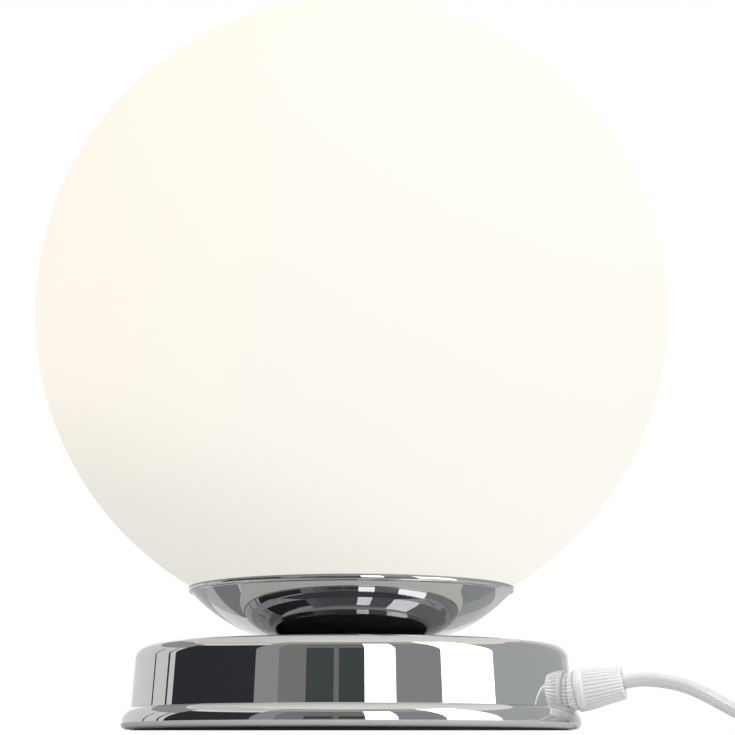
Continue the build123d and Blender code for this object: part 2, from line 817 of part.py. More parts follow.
with BuildPart() as grip_cap:
    with BuildSketch(grip_section):
        with BuildLine():
            Polyline(
                (0, ring_start + fit),
                (ring_radius - ring_width / 4, ring_start + fit),
                (ring_radius, ring_start + ring_width / 2),
                (ring_radius, ring_start + ring_width),
                (0, ring_start + ring_width),
                close=True,
            )
        make_face()
    revolve(axis=grip_line)
    with BuildSketch(grip_plane.offset(ring_start + ring_width)):
        Polygon(*star(cap_start_radius, rib_depth, cap_ribs), align=None)
    with BuildSketch(grip_plane.offset(cap_reach)):
        Polygon(*star(cap_end_radius, rib_depth, cap_ribs), align=None)
    loft(ruled=True)
    with BuildSketch(grip_section):
        with BuildLine():
            Polyline(
                (0, ring_start),
                (grip_thread_radius + thread_gap, ring_start),
                (grip_thread_radius + thread_gap, collet_start),
                (collet_radius + fit, collet_start),
                (collet_tip_radius + fit, collet_end),
                (cap_mouth_radius, cap_reach - cap_mouth_length),
                (cap_mouth_radius, cap_reach),
                (0, cap_reach),
                close=True,
            )
        make_face()
    revolve(axis=grip_line, mode=Mode.SUBTRACT)
grip_cap.part.label = "grip_cap"

cord_mouth = cap_reach - cord_inset
with BuildPart() as cord_in_grip:
    along_grip(cord_radius, -stub_inner, cord_mouth)
cord_in_grip.part.label = "cord_in_grip"

# ---------------------------------------------------------------- terminal block and wires
block_plane = Plane(origin=(0, 0, plate_top), x_dir=grip_flat, z_dir=(0, 0, 1))
block_ends = [
    (block_distance + side * block_length / 4, pole * pole_spacing / 2)
    for side in (-1, 1)
    for pole in (-1, 1)
]

with BuildPart() as terminal_block:
    with Locations(block_plane):
        with Locations((block_distance, 0, 0)):
            Box(block_length, block_width, block_height, align=standing)
            fillet(terminal_block.edges().filter_by(Axis.Z), block_corner)
        with Locations(*[(block_distance, pole * pole_spacing / 2, pole_height) for pole in (-1, 1)]):
            Cylinder(block_bore_radius, block_length, rotation=(0, 90, 0), mode=Mode.SUBTRACT)
        with Locations(*[(x, y, pole_height) for x, y in block_ends]):
            Cylinder(
                block_screw_radius + fit,
                block_height - pole_height,
                align=standing,
                mode=Mode.SUBTRACT,
            )
terminal_block.part.label = "terminal_block"

screw_low = pole_height + core_radius + fit
with BuildPart() as terminal_screws:
    with Locations(block_plane):
        with Locations(*[(x, y, screw_low) for x, y in block_ends]):
            Cylinder(block_screw_radius, block_screw_depth, align=standing)
        with Locations(*[(x, y, screw_low + block_screw_depth) for x, y in block_ends]):
            Box(2 * block_screw_radius, core_radius / 2, core_radius, mode=Mode.SUBTRACT)
terminal_screws.part.label = "terminal_screws"


def block_point(along, aside, height):
    """A point in the base: towards the grip, beside that line, and above the table."""
    return grip_flat * along + grip_side * aside + Vector(0, 0, height)


def wire(side):
    """One core: from the cord's end to the block, and from the block up to the lampholder."""
    start = grip_point(-stub_inner - fit, side * core_spacing / 2)
    pole = side * pole_spacing / 2
    wire_height = plate_top + pole_height
    front = block_distance + block_length / 2
    span = start.dot(grip_flat) - front
    drop = start.Z - wire_height
    into_block = [
        start,
        block_point(front + 0.71 * span, side * 1.5, wire_height + 0.6 * drop),
        block_point(front + 0.33 * span, side * 4.1, wire_height + 0.1 * drop),
        block_point(front + 0.02 * span, pole, wire_height),
        block_point(block_distance + block_length / 4, pole, wire_height),
    ]
    back = block_distance - block_length / 2
    up_to_holder = [
        block_point(block_distance - block_length / 4, pole, wire_height),
        block_point(back - core_diameter * 0.8, pole, wire_height),
        block_point(back / 2, side * 2.2, nipple_bottom - 1.4),
        block_point(0.0, side * 1.2, nipple_bottom - 2.0),
        block_point(0.3, side * 1.2, (nipple_bottom * 2 + nipple_top) / 3),
        block_point(0.0, side * 1.3, (nipple_bottom + nipple_top * 2) / 3),
        block_point(0.4, side * 1.5, nipple_top - 2.0),
        block_point(1.6, side * 3.2, nipple_top + 3.0),
        block_point(3.9, side * 7.2, insert_low - 3.1),
        block_point(4.2, side * 8.8, insert_low - core_radius),
    ]
    lower, lower_length = tube(into_block, core_radius)
    upper, upper_length = tube(up_to_holder, core_radius)
    report_tube("wire to the block", into_block, core_radius, lower, lower_length)
    report_tube("wire to the holder", up_to_holder, core_radius, upper, upper_length)
    return lower + upper


with BuildPart() as live_wire:
    add(wire(1))
live_wire.part.label = "live_wire"

with BuildPart() as neutral_wire:
    add(wire(-1))
neutral_wire.part.label = "neutral_wire"

# ---------------------------------------------------------------- cord on the table
switch_x, switch_y = switch_centre
switch_reach = switch_length / 2 - cord_entry
plug_x, plug_y = plug_centre
plug_axis = plug_thickness / 2
plug_back = plug_y - plug_length / 2
plug_entry = plug_back - plug_tail_length
start_x, start_y = coil_start

lead_route = [
    grip_point(cord_mouth),
    grip_point(cord_mouth + lead_straight),
    (92.3, -21.3, 15.7),
    (98.4, -22.7, 14.45),
    (104.5, -24.1, 11.9),
    (110.7, -25.6, 8.2),
    (117.2, -27.1, 4.7),
    (124.6, -29.0, 2.7),
    (133.4, -31.6, 2.2),
    (145.0, -36.6, floor_level),
    (160.5, -44.6, floor_level),
    (178.5, -56.2, floor_level),
    (198.5, -66.8, floor_level),
    (218.5, -73.0, floor_level),
    (237.2, -73.3, floor_level),
    (251.6, -63.6, floor_level),
    (257.3, -47.2, 2.5),
    (252.2, -30.6, 4.4),
    (238.4, switch_y, switch_split),
    (switch_x + switch_reach, switch_y, switch_split),
]
tail_route = [
    (switch_x - switch_reach, switch_y, switch_split),
    (162.6, switch_y, switch_split),
    (146.2, -20.3, 3.2),
    (132.0, -11.7, floor_level),
    (126.0, 4.0, floor_level),
    (130.3, 20.4, floor_level),
    (143.9, 30.5, 2.3),
    (160.6, start_y, coil_low),
    (start_x - cord_diameter, start_y, coil_low),
]
coil_top = coil_low + (len(coil_layers) - 1) * coil_pitch
end_route = [
    (start_x + cord_diameter, start_y, coil_top),
    (200.0, start_y, coil_top),
    (212.5, 33.0, 14.6),
    (224.5, 37.0, 9.4),
    (235.0, 43.3, 4.8),
    (243.4, 51.4, 3.2),
    (248.4, 60.0, 4.6),
    (plug_x, 68.0, plug_axis),
    (plug_x, plug_entry + cord_entry, plug_axis),
]

cord_lead_shape, lead_length = tube(lead_route, cord_radius)
report_tube("cord_lead", lead_route, cord_radius, cord_lead_shape, lead_length)
with BuildPart() as cord_lead:
    add(cord_lead_shape)
cord_lead.part.label = "cord_lead"

cord_tail_shape, tail_length = tube(tail_route, cord_radius)
report_tube("cord_tail", tail_route, cord_radius, cord_tail_shape, tail_length)
with BuildPart() as cord_tail:
    add(cord_tail_shape)
cord_tail.part.label = "cord_tail"

cord_end_shape, end_length = tube(end_route, cord_radius)
report_tube("cord_end", end_route, cord_radius, cord_end_shape, end_length)
with BuildPart() as cord_end:
    add(cord_end_shape)
cord_end.part.label = "cord_end"


# ---------------------------------------------------------------- coil
def coil_turns():
    """Each half turn's radius and rise: in and out again, climbing a layer where the spiral reverses."""
    turns = []
    radius = coil_radius
    for layer, count in enumerate(coil_layers):
        step = coil_pitch / 2 if layer % 2 else -coil_pitch / 2
        for _ in range(count):
            turns.append((radius, 0.0))
            radius += step
        if layer < len(coil_layers) - 1:
            turns.append((radius, coil_pitch))
            radius -= step
    return turns


with BuildPart() as cord_coil:
    with BuildLine() as coil_path:
        place = Vector(start_x, start_y, coil_low)
        Line(place - Vector(cord_diameter, 0, 0), place)
        for number, (radius, rise) in enumerate(coil_turns()):
            side = -1 if number % 2 else 1
            across = Vector(0, side * 2 * radius, rise)
            middle = place + across / 2 + Vector(side * across.length / 2, 0, 0)
            ThreePointArc(place, middle, place + across)
            place = place + across
        Line(place, place + Vector(cord_diameter, 0, 0))
    with BuildSketch(Plane(origin=coil_path.wires()[0] @ 0, z_dir=(1, 0, 0))):
        Circle(cord_radius)
    sweep(path=coil_path.wires()[0])
cord_coil.part.label = "cord_coil"

coil_line = coil_path.wires()[0]
coil_samples = ceil(coil_line.length / (cord_radius / 2))
coil_points = [coil_line @ (i / coil_samples) for i in range(coil_samples + 1)]
apart = ceil(3 * cord_diameter / (coil_line.length / coil_samples))
least_gap = min(
    (a - b).length for i, a in enumerate(coil_points) for b in coil_points[i + apart :]
) - cord_diameter
coil_share = cord_coil.part.volume / (pi * cord_radius**2 * coil_line.length)
print(f"cord_coil: length {coil_line.length:.1f}, least gap {least_gap:.2f}, volume share {coil_share:.4f}")
print(f"cord in all: {lead_length + tail_length + end_length + coil_line.length:.0f}")

# The tie goes round the turns on the side that faces the lamp, where they lie one above another.
tie_y = start_y + max(radius for radius, rise in coil_turns())
tie_reach = tie_width / 2 + cord_radius
tied = [start_x - p.X for p in coil_points if abs(p.Y - tie_y) < tie_reach and p.X < start_x]
tie_near = min(tied) - cord_radius - tie_gap
tie_far = max(tied) + cord_radius + tie_gap
tie_inside_height = coil_top - coil_low + cord_diameter + 2 * tie_gap
with BuildPart() as coil_tie:
    with BuildSketch(Plane(origin=(start_x, tie_y, 0), x_dir=(-1, 0, 0), z_dir=(0, 1, 0))):
        with Locations(((tie_near + tie_far) / 2, tie_thickness + tie_inside_height / 2)):
            RectangleRounded(
                tie_far - tie_near + 2 * tie_thickness, tie_inside_height + 2 * tie_thickness, cord_radius
            )
            RectangleRounded(
                tie_far - tie_near, tie_inside_height, cord_radius - tie_thickness, mode=Mode.SUBTRACT
            )
    extrude(amount=tie_width / 2, both=True)
coil_tie.part.label = "coil_tie"

# ---------------------------------------------------------------- in-line switch
switch_plane = Plane(origin=(switch_x, switch_y, 0))
post_places = [(side * switch_screw_spacing / 2, 0) for side in (-1, 1)]
pivot_height = switch_height - pivot_depth


def switch_outline(inset):
    """The case's outline from above."""
    half = switch_length / 2
    corners = [
        (-half, -switch_end_width / 2),
        (-half + switch_shoulder, -switch_width / 2),
        (half - switch_shoulder, -switch_width / 2),
        (half, -switch_end_width / 2),
    ]
    with BuildSketch(switch_plane) as outline:
        Polygon(*corners, *[(x, -y) for x, y in reversed(corners)], align=None)
        fillet(outline.vertices(), switch_corner)
        if inset:
            offset(amount=-inset, kind=Kind.INTERSECTION)
    return outline.sketch


def cord_entries():
    """The holes that the cord goes through, half in each half of the case."""
    with BuildPart() as entries:
        with Locations((switch_x, switch_y, switch_split)):
            Cylinder(cord_radius + fit, switch_length, rotation=(0, 90, 0))
            Box(switch_length - 2 * cord_entry, switch_width, switch_height, mode=Mode.SUBTRACT)
    return entries.part


def posts(radius, low, high, mode=Mode.ADD):
    """Round posts or holes where the switch's screws go."""
    with Locations(*[(switch_x + x, switch_y + y, low) for x, y in post_places]):
        Cylinder(radius, high - low, align=standing, mode=mode)


with BuildPart() as switch_case_bottom:
    with BuildSketch():
        add(switch_outline(0))
    extrude(amount=switch_split)
    fillet(switch_case_bottom.faces().sort_by(Axis.Z)[0].edges(), switch_round)
    with BuildSketch(Plane.XY.offset(switch_wall)):
        add(switch_outline(switch_wall))
    extrude(amount=switch_split - switch_wall, mode=Mode.SUBTRACT)
    posts(switch_post_radius, switch_wall / 2, switch_split)
    posts(switch_screw_radius + fit, 0, switch_split, Mode.SUBTRACT)
    posts(switch_screw_head + fit, 0, switch_wall, Mode.SUBTRACT)
    add(cord_entries(), mode=Mode.SUBTRACT)
switch_case_bottom.part.label = "switch_case_bottom"

ceiling = switch_height - switch_wall
lug_offset = (window_width + pin_lug) / 2
with BuildPart() as switch_case_top:
    with BuildSketch(Plane.XY.offset(switch_split)):
        add(switch_outline(0))
    extrude(amount=switch_height - switch_split)
    fillet(switch_case_top.faces().sort_by(Axis.Z)[-1].edges(), switch_round)
    with BuildSketch(Plane.XY.offset(switch_split)):
        add(switch_outline(switch_wall))
    extrude(amount=ceiling - switch_split, mode=Mode.SUBTRACT)
    posts(switch_post_radius, switch_split, ceiling)
    posts(switch_screw_radius + fit, switch_split, ceiling, Mode.SUBTRACT)
    with Locations(*[(switch_x, switch_y + side * lug_offset, ceiling) for side in (-1, 1)]):
        Box(4 * pivot_radius, pin_lug, 2 * (ceiling - pivot_height + 2 * pivot_radius))
    with Locations((switch_x, switch_y, switch_height)):
        Box(window_length, window_width, 4 * switch_wall, mode=Mode.SUBTRACT)
    with Locations((switch_x, switch_y, pivot_height)):
        Cylinder(pivot_radius + fit, window_width + 2 * pin_lug, rotation=(90, 0, 0), mode=Mode.SUBTRACT)
    add(cord_entries(), mode=Mode.SUBTRACT)
switch_case_top.part.label = "switch_case_top"

# The rocker rests on OFF, half its travel away from level.
rocker_plane = Plane(origin=(switch_x, switch_y, pivot_height), x_dir=(1, 0, 0), z_dir=(0, -1, 0))
rocker_end = rocker_length / 2
rocker_rise = rocker_end * tan(radians(rocker_angle))
with BuildPart() as switch_rocker:
    with BuildSketch(rocker_plane):
        Polygon(
            (-rocker_end, rocker_valley + rocker_rise),
            (0, rocker_valley),
            (rocker_end, rocker_valley + rocker_rise),
            (rocker_end, rocker_valley - rocker_depth / 2),
            (pivot_radius * 2, rocker_valley - rocker_depth),
            (-pivot_radius * 2, rocker_valley - rocker_depth),
            (-rocker_end, rocker_valley - rocker_depth / 2),
            rotation=rocker_sweep / 2,
            align=None,
        )
    extrude(amount=rocker_width / 2, both=True)
    with Locations((switch_x, switch_y, pivot_height)):
        Cylinder(pivot_radius + running, rocker_width, rotation=(90, 0, 0), mode=Mode.SUBTRACT)
switch_rocker.part.label = "switch_rocker"

with BuildPart() as rocker_pin:
    with Locations((switch_x, switch_y, pivot_height)):
        Cylinder(pivot_radius, window_width + 2 * pin_lug, rotation=(90, 0, 0))
rocker_pin.part.label = "rocker_pin"

with BuildPart() as switch_contacts:
    for side in (-1, 1):
        with Locations((switch_x + side * contact_gap / 2, switch_y, switch_wall)):
            Box(contact_base, contact_base, contact_sheet, align=standing)
            Box(contact_sheet, contact_base, contact_tall, align=standing)
switch_contacts.part.label = "switch_contacts"

with BuildPart() as switch_screws:
    posts(switch_screw_head, switch_wall / 4, switch_wall)
    posts(switch_screw_radius, switch_wall / 4, ceiling - running)
    with Locations(*[(switch_x + x, switch_y + y, switch_wall / 4) for x, y in post_places]):
        Box(2 * switch_screw_radius, contact_sheet, contact_sheet, mode=Mode.SUBTRACT)
        Box(contact_sheet, 2 * switch_screw_radius, contact_sheet, mode=Mode.SUBTRACT)
switch_screws.part.label = "switch_screws"

# ---------------------------------------------------------------- plug
half_face = plug_face_width / 2
half_back = plug_back_width / 2
half_plug = plug_width / 2
plug_front = plug_y + plug_length / 2


def across_plug(distance, aside=0.0):
    """A plane square to the plug's axis, so far beyond its front."""
    return Plane(origin=(plug_x + aside, plug_front + distance, plug_axis), z_dir=(0, 1, 0))


pin_places = [side * pin_spacing / 2 for side in (-1, 1)]
tail_start = plug_entry - plug_front
groove_step = plug_tail_length / (tail_groove_count + 1)
with BuildPart() as plug_body:
    with BuildSketch(Plane.XY) as plug_plan:
        with Locations((plug_x, plug_y)):
            Polygon(
                (-half_face, plug_length / 2),
                (half_face, plug_length / 2),
                (half_plug, plug_length / 3),
                (half_plug, 0),
                (half_back, -plug_length / 2),
                (-half_back, -plug_length / 2),
                (-half_plug, 0),
                (-half_plug, plug_length / 3),
                align=None,
            )
        fillet(plug_plan.vertices(), plug_corner)
    extrude(amount=plug_thickness)
    fillet(plug_body.edges().group_by(Axis.Z)[0] + plug_body.edges().group_by(Axis.Z)[-1], plug_round)
    with Locations(across_plug(tail_start)):
        Cone(plug_tail_tip_radius, plug_tail_radius, plug_tail_length + fit, align=standing)
    for ring in range(1, tail_groove_count + 1):
        with Locations(across_plug(tail_start + ring * groove_step)):
            Cylinder(plug_tail_radius + fit, tail_groove, mode=Mode.SUBTRACT)
            Cylinder(tail_groove_radius, tail_groove)
    with Locations(across_plug(tail_start)):
        Cylinder(cord_radius + fit, cord_entry, align=standing, mode=Mode.SUBTRACT)
    with Locations(*[across_plug(-pin_root, aside) for aside in pin_places]):
        Cylinder(pin_core_radius + thread_gap, pin_root, align=standing, mode=Mode.SUBTRACT)
plug_body.part.label = "plug_body"

with BuildPart() as plug_pins:
    with Locations(*[across_plug(-pin_root, aside) for aside in pin_places]):
        Cylinder(pin_core_radius, pin_root + pin_length, align=standing)
    with Locations(*[across_plug(pin_sleeve_length, aside) for aside in pin_places]):
        Cylinder(pin_radius, pin_length - pin_sleeve_length, align=standing)
    fillet(plug_pins.edges().filter_by(GeomType.CIRCLE).group_by(Axis.Y)[-1], pin_radius / 2)
plug_pins.part.label = "plug_pins"

with BuildPart() as plug_pin_sleeves:
    with Locations(*[across_plug(0, aside) for aside in pin_places]):
        Cylinder(pin_sleeve_radius, pin_sleeve_length - fit, align=standing)
        Cylinder(pin_core_radius + thread_gap, pin_sleeve_length, align=standing, mode=Mode.SUBTRACT)
plug_pin_sleeves.part.label = "plug_pin_sleeves"

# ---------------------------------------------------------------- files
pieces = [
    base_shell,
    base_plate,
    rubber_pad,
    ballast,
    base_plate_screws,
    nipple,
    lower_washer,
    lower_nut,
    bowl_spacer,
    bowl,
    lock_washer,
    upper_nut,
    rim_edging,
    glass_globe,
    clip_plate,
    *spring_clips,
    clip_rivets,
    holder_base,
    holder_insert,
    holder_screw_shell,
    holder_contact,
    holder_terminal_screws,
    holder_skirt,
    bulb_contact,
    bulb_insulator,
    bulb_cap,
    bulb_housing,
    bulb_diffuser,
    grip_body,
    grip_seal,
    grip_locknut,
    grip_collet,
    grip_cap,
    cord_in_grip,
    terminal_block,
    terminal_screws,
    live_wire,
    neutral_wire,
    cord_lead,
    cord_tail,
    cord_coil,
    coil_tie,
    cord_end,
    switch_case_bottom,
    switch_case_top,
    switch_rocker,
    rocker_pin,
    switch_contacts,
    switch_screws,
    plug_body,
    plug_pins,
    plug_pin_sleeves,
]
os.makedirs("parts", exist_ok=True)
for piece in pieces:
    export_step(piece.part, f"parts/{piece.part.label}.step")
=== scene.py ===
"""Glass globe table lamp: an opal globe in a chrome bowl on a round chrome base, with its cord."""

import json
from math import acos, asin, atan2, cos, pi, radians, sin, tan

import bmesh
import bpy
from mathutils import Matrix, Vector


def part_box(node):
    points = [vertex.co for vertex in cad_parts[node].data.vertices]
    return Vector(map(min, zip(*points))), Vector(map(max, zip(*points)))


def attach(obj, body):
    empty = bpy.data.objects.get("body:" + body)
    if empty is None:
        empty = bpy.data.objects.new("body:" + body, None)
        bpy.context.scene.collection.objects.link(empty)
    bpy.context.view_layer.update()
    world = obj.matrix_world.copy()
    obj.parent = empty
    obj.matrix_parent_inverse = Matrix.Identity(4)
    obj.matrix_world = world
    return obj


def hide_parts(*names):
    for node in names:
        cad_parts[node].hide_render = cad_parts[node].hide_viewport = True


bl_info = {
    "name": "Glass globe table lamp",
    "version": (1, 0, 0),
    "blender": (4, 5, 0),
    "location": "View3D > Sidebar > Lamp",
    "description": "Builds the looks of a glass globe table lamp around its packed model",
    "category": "Object",
}

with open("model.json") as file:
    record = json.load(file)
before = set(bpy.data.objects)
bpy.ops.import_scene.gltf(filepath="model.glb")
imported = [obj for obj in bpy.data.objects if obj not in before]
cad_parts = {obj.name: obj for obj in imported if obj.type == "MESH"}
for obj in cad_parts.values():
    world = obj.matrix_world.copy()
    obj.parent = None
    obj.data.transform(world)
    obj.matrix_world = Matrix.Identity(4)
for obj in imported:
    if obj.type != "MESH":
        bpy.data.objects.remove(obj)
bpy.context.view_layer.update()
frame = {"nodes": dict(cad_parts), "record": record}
NODES = frame["nodes"]
MM = 0.001

GLOBE_LOW, GLOBE_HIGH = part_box("glass_globe")
BOWL_LOW, BOWL_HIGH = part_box("bowl")
BASE_LOW, BASE_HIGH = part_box("base_shell")
TIE_LOW, TIE_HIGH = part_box("coil_tie")
COIL_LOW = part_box("cord_coil")[0]

ORIGIN = (0.0, 0.0, 0.0)
UP = (0.0, 0.0, 1.0)
WHITE = (1.0, 1.0, 1.0)

# Points nearer than this, in metres, are one point: in a turned profile, and where faces or copies
# that were made apart meet.
SAME_POINT = 1e-7
SAME_SEAM = 1e-6


def mm(*place):
    """A place given in millimetres."""
    return Vector(place) * MM


# ---------------------------------------------------------------- sizes and colours to change
def size(name, default, description):
    """A length in millimetres, in the frame's own scale."""
    return bpy.props.FloatProperty(name=name, default=default, description=description, min=0.0)


def offset(name, default, description):
    """A distance in millimetres that may also be below zero."""
    return bpy.props.FloatProperty(name=name, default=default, description=description)


def angle(name, default, description):
    """An angle, whose default is given in degrees."""
    return bpy.props.FloatProperty(
        name=name, default=radians(default), description=description, subtype="ANGLE"
    )


def strength(name, default, description):
    """How strong a light is."""
    return bpy.props.FloatProperty(name=name, default=default, description=description, min=0.0)


def tint(name, default, description):
    """A linear colour."""
    return bpy.props.FloatVectorProperty(
        name=name,
        default=default,
        description=description,
        subtype="COLOR",
        size=3,
        min=0.0,
        max=1.0,
    )


class LAMP_PG_view(bpy.types.PropertyGroup):
    """Where the photograph was taken from."""

    lens: size("Lens", 97.96, "Focal length")
    sensor: size("Sensor", 36.0, "Width of the sensor behind the lens")
    near: size("Near", 10.0, "Where the camera begins to see")
    distance: size("Distance", 624.6, "From the lamp's axis to the camera")
    aside: offset("Aside", 5.04, "How far right of the lamp's axis the camera is")
    eye_height: offset("Eye height", -7.7, "Camera above the table's top")
    pitch: angle("Pitch", 11.114, "How far the camera looks up")


class LAMP_PG_stage(bpy.types.PropertyGroup):
    """The table and the light."""

    table_front: size("Table front", 93.0, "From the lamp's axis to the table's front edge")
    table_depth: size("Table depth", 1400.0, "From its front edge to its back edge")
    table_width: size("Table width", 2400.0, "From side to side")
    table_thickness: size("Table thickness", 30.0, "Of the slab")
    table_colour: tint("Table colour", (0.72, 0.72, 0.715), "The slab's top")
    edge_colour: tint("Edge colour", (0.9, 0.9, 0.9), "The slab's sides and underside")
    ambient: strength("Ambient", 0.55, "Of the light from all round")
    key_power: strength("Key power", 16.0, "Of the soft key light, in watts")
    key_size: size("Key size", 1200.0, "Of the key light's square")
    key_place: bpy.props.FloatVectorProperty(
        name="Key place", default=(700.0, -900.0, 1300.0), description="Of the key light", size=3
    )
    key_aim: size("Key aim", 120.0, "Height on the lamp's axis that the key light points to")
    panel_radius: size("Panel radius", 1500.0, "From the lamp's axis to the studio's panels")
    softbox: strength("Softbox", 3.2, "Brightness of the two softboxes")


class LAMP_PG_metal(bpy.types.PropertyGroup):
    """The chrome pieces."""

    base_sheet: size("Base sheet", 1.2, "Thickness of the base shell")
    shoulder: size("Shoulder", 4.5, "Rounding of the base's upper edge")
    wall_top: size("Wall top radius", 66.5, "Where the base's wall would meet its top")
    wall_foot: size("Wall foot radius", 67.8, "Where the base's wall meets its flange")
    foot_height: size("Foot height", 8.0, "Of the flange's upper end")
    tip_height: size("Tip height", 3.4, "Of the flange's widest point")
    lip_radius: size("Lip radius", 68.6, "Where the flange has turned under")
    lip_return: size("Lip return", 0.9, "Width of the turned-in edge")
    bowl_flat: size("Bowl flat", 13.2, "Radius of the bowl's flat bottom")
    bowl_sheet: size("Bowl sheet", 0.8, "Thickness of the bowl")
    bead: size("Bead", 1.0, "Radius of the bowl's rolled rim")
    bead_lean: angle("Bead lean", 80.0, "Where the bead begins: 90 degrees is right underneath it")
    nipple: size("Nipple radius", 5.05, "Of the hole that the threaded tube passes through")
    chrome: tint("Chrome", (0.65, 0.65, 0.66), "Polished chrome plating")
    polish: bpy.props.FloatProperty(
        name="Polish",
        default=0.016,
        description="Roughness of the chrome",
        min=0.0,
        max=1.0,
        subtype="FACTOR",
    )


class LAMP_PG_glass(bpy.types.PropertyGroup):
    """The globe."""

    wall: size("Wall", 2.6, "Thickness of the glass")
    opening: size("Opening", 38.0, "Radius of the ground opening underneath")
    ground_edge: size("Ground edge", 0.49, "How far from its corners the opening's edge is rounded")
    opal: tint("Opal", (0.13, 0.13, 0.125), "The glass as light from outside shows it")
    glow: tint("Glow", (0.885, 0.868, 0.785), "The light that comes through the glass")
    warm_glow: tint("Warm glow", (0.92, 0.86, 0.765), "The same on the side away from the cord")
    # Painted shade: this dimmer glow darkens the globe's emission low down and towards -X.
    painted_shade_glow: tint(
        "Dim glow", (0.715, 0.70, 0.64), "The same low down, where the holder shades the glass"
    )


class LAMP_PG_grip(bpy.types.PropertyGroup):
    """The ribbed cap of the cord grip, its places measured outwards from the base's wall."""

    azimuth: angle("Azimuth", -13.0, "Of the grip's axis, from +X towards +Y")
    tilt: angle("Tilt", 10.0, "How far the grip's axis rises")
    wall: size("Wall radius", 67.497, "Of the base where the grip's axis crosses it")
    height: size("Height", 12.4, "Of that place above the table")
    ring_start: size("Ring start", 2.0, "Where the smooth ring begins")
    ring_end: size("Ring end", 5.0, "Where the ring ends and the ribs begin")
    ring: size("Ring radius", 6.45, "Of the smooth ring")
    start: size("Start radius", 5.95, "Of the grooves between the ribs at the ring")
    end: size("End radius", 4.7, "Of the grooves between the ribs at the mouth")
    straight: size("Straight", 0.35, "Length of the ribs before they taper")
    rounding: size("Rounding", 0.45, "Of the ribs' ends at the mouth")
    reach: size("Reach", 16.6, "Where the cap's mouth is")
    mouth: size("Mouth radius", 2.45, "Of the hole for the cord")
    mouth_depth: size("Mouth depth", 1.6, "Length of that hole")
    cone_depth: size("Cone depth", 2.7, "From the mouth to the small end of the cone inside")
    cone_small: size("Cone small radius", 3.05, "Of the cone near the mouth")
    cone_large: size("Cone large radius", 4.05, "Of the cone where it meets the thread")
    thread: size("Thread radius", 5.0, "Inside the cap, over the grip's body")
    thread_end: size("Thread end", 9.25, "Where the thread's room ends")
    ribs: bpy.props.IntProperty(name="Ribs", default=32, description="Round the cap", min=3)
    rib_depth: size("Rib depth", 0.5, "How far the ribs stand out")
    plastic: tint("Plastic", (0.91, 0.92, 0.93), "The cap and the grip's body")


class LAMP_PG_tie(bpy.types.PropertyGroup):
    """The tape that holds the coil together."""

    tape: size("Tape", 0.6, "Thickness of the tape")
    corner: size("Corner", 2.0, "Rounding of the band's corners")
    flap_start: size("Flap start", 5.5, "From the band's -X side to where its loose end begins")
    flap_end: size("Flap end", 3.0, "From the loose end's tip to the band's +X side")
    flap_aside: size("Flap aside", 0.5, "How far the loose end lies beside the turn below it")


class LAMP_PG_cord(bpy.types.PropertyGroup):
    """The mains cord."""

    diameter: size("Diameter", 4.2, "Of the round cord")
    pitch: size("Pitch", 4.7, "Between turns of the coil, and between its layers")
    first_radius: size("First radius", 27.35, "Of the coil's first half turn")
    layers: bpy.props.IntVectorProperty(
        name="Layers",
        default=(3, 3, 3, 4),
        size=4,
        description="Flat half turns in each layer of the coil",
    )
    sheath: tint("Sheath", (0.76, 0.76, 0.77), "The cord's outside")


GROUPS = {
    "lamp_view": LAMP_PG_view,
    "lamp_stage": LAMP_PG_stage,
    "lamp_metal": LAMP_PG_metal,
    "lamp_glass": LAMP_PG_glass,
    "lamp_grip": LAMP_PG_grip,
    "lamp_tie": LAMP_PG_tie,
    "lamp_cord": LAMP_PG_cord,
}


# ---------------------------------------------------------------- materials
# The range that the noise mostly keeps within.
NOISE_LOW, NOISE_HIGH = 0.3, 0.7

# Where the globe glows in another colour: the colour, a direction from the globe's centre, and the
# distances along it, in millimetres, between which that colour comes in.
GLOW_CHANGES = (
    ("warm_glow", (-1.0, 0.0, 0.2), 10.0, 80.0),
    # Painted shade: the dimmer glow low down and towards -X.
    ("painted_shade_glow", (-0.4, 0.0, -0.92), 48.0, 101.0),
)

# Plain plastics, rubbers and the like, by slot: colour, roughness, depth of the grain in metres.
PLASTICS = {
    # The edging's dark grey is painted shade: it stands in for the shadow line where the globe
    # meets the bowl's rim.
    "edging": ((0.34, 0.34, 0.33), 0.35, 0.0),
    "pad_rubber": ((0.03, 0.03, 0.03), 0.8, 0.00005),
    "ballast_iron": ((0.05, 0.05, 0.05), 0.7, 0.0001),
    "seal_rubber": ((0.30, 0.30, 0.28), 0.7, 0.0),
    "holder_plastic": ((0.82, 0.82, 0.79), 0.4, 0.0),
    "porcelain": ((0.85, 0.84, 0.79), 0.15, 0.0),
    "bulb_black": ((0.02, 0.02, 0.02), 0.2, 0.0),
    "bulb_white": ((0.85, 0.85, 0.84), 0.3, 0.0),
    "bulb_diffuser": ((0.88, 0.88, 0.85), 0.5, 0.0),
    "live_insulation": ((0.11, 0.04, 0.015), 0.35, 0.0),
    "neutral_insulation": ((0.02, 0.07, 0.40), 0.35, 0.0),
    "block_plastic": ((0.78, 0.78, 0.75), 0.4, 0.0),
    "switch_plastic": ((0.74, 0.74, 0.72), 0.3, 0.0),
    "rocker_plastic": ((0.70, 0.70, 0.68), 0.25, 0.0),
    "plug_plastic": ((0.72, 0.72, 0.70), 0.45, 0.00003),
    "sleeve_plastic": ((0.70, 0.70, 0.68), 0.3, 0.0),
    "tie_tape": ((0.60, 0.60, 0.58), 0.9, 0.0002),
}

# Unpolished metals, by slot: colour, roughness.
METALS = {
    "plated_steel": ((0.62, 0.62, 0.62), 0.35),
    "contact_brass": ((0.78, 0.56, 0.24), 0.3),
    "spring_steel": ((0.66, 0.66, 0.66), 0.25),
    "bulb_cap_metal": ((0.76, 0.76, 0.77), 0.3),
    "pin_metal": ((0.78, 0.76, 0.72), 0.2),
}


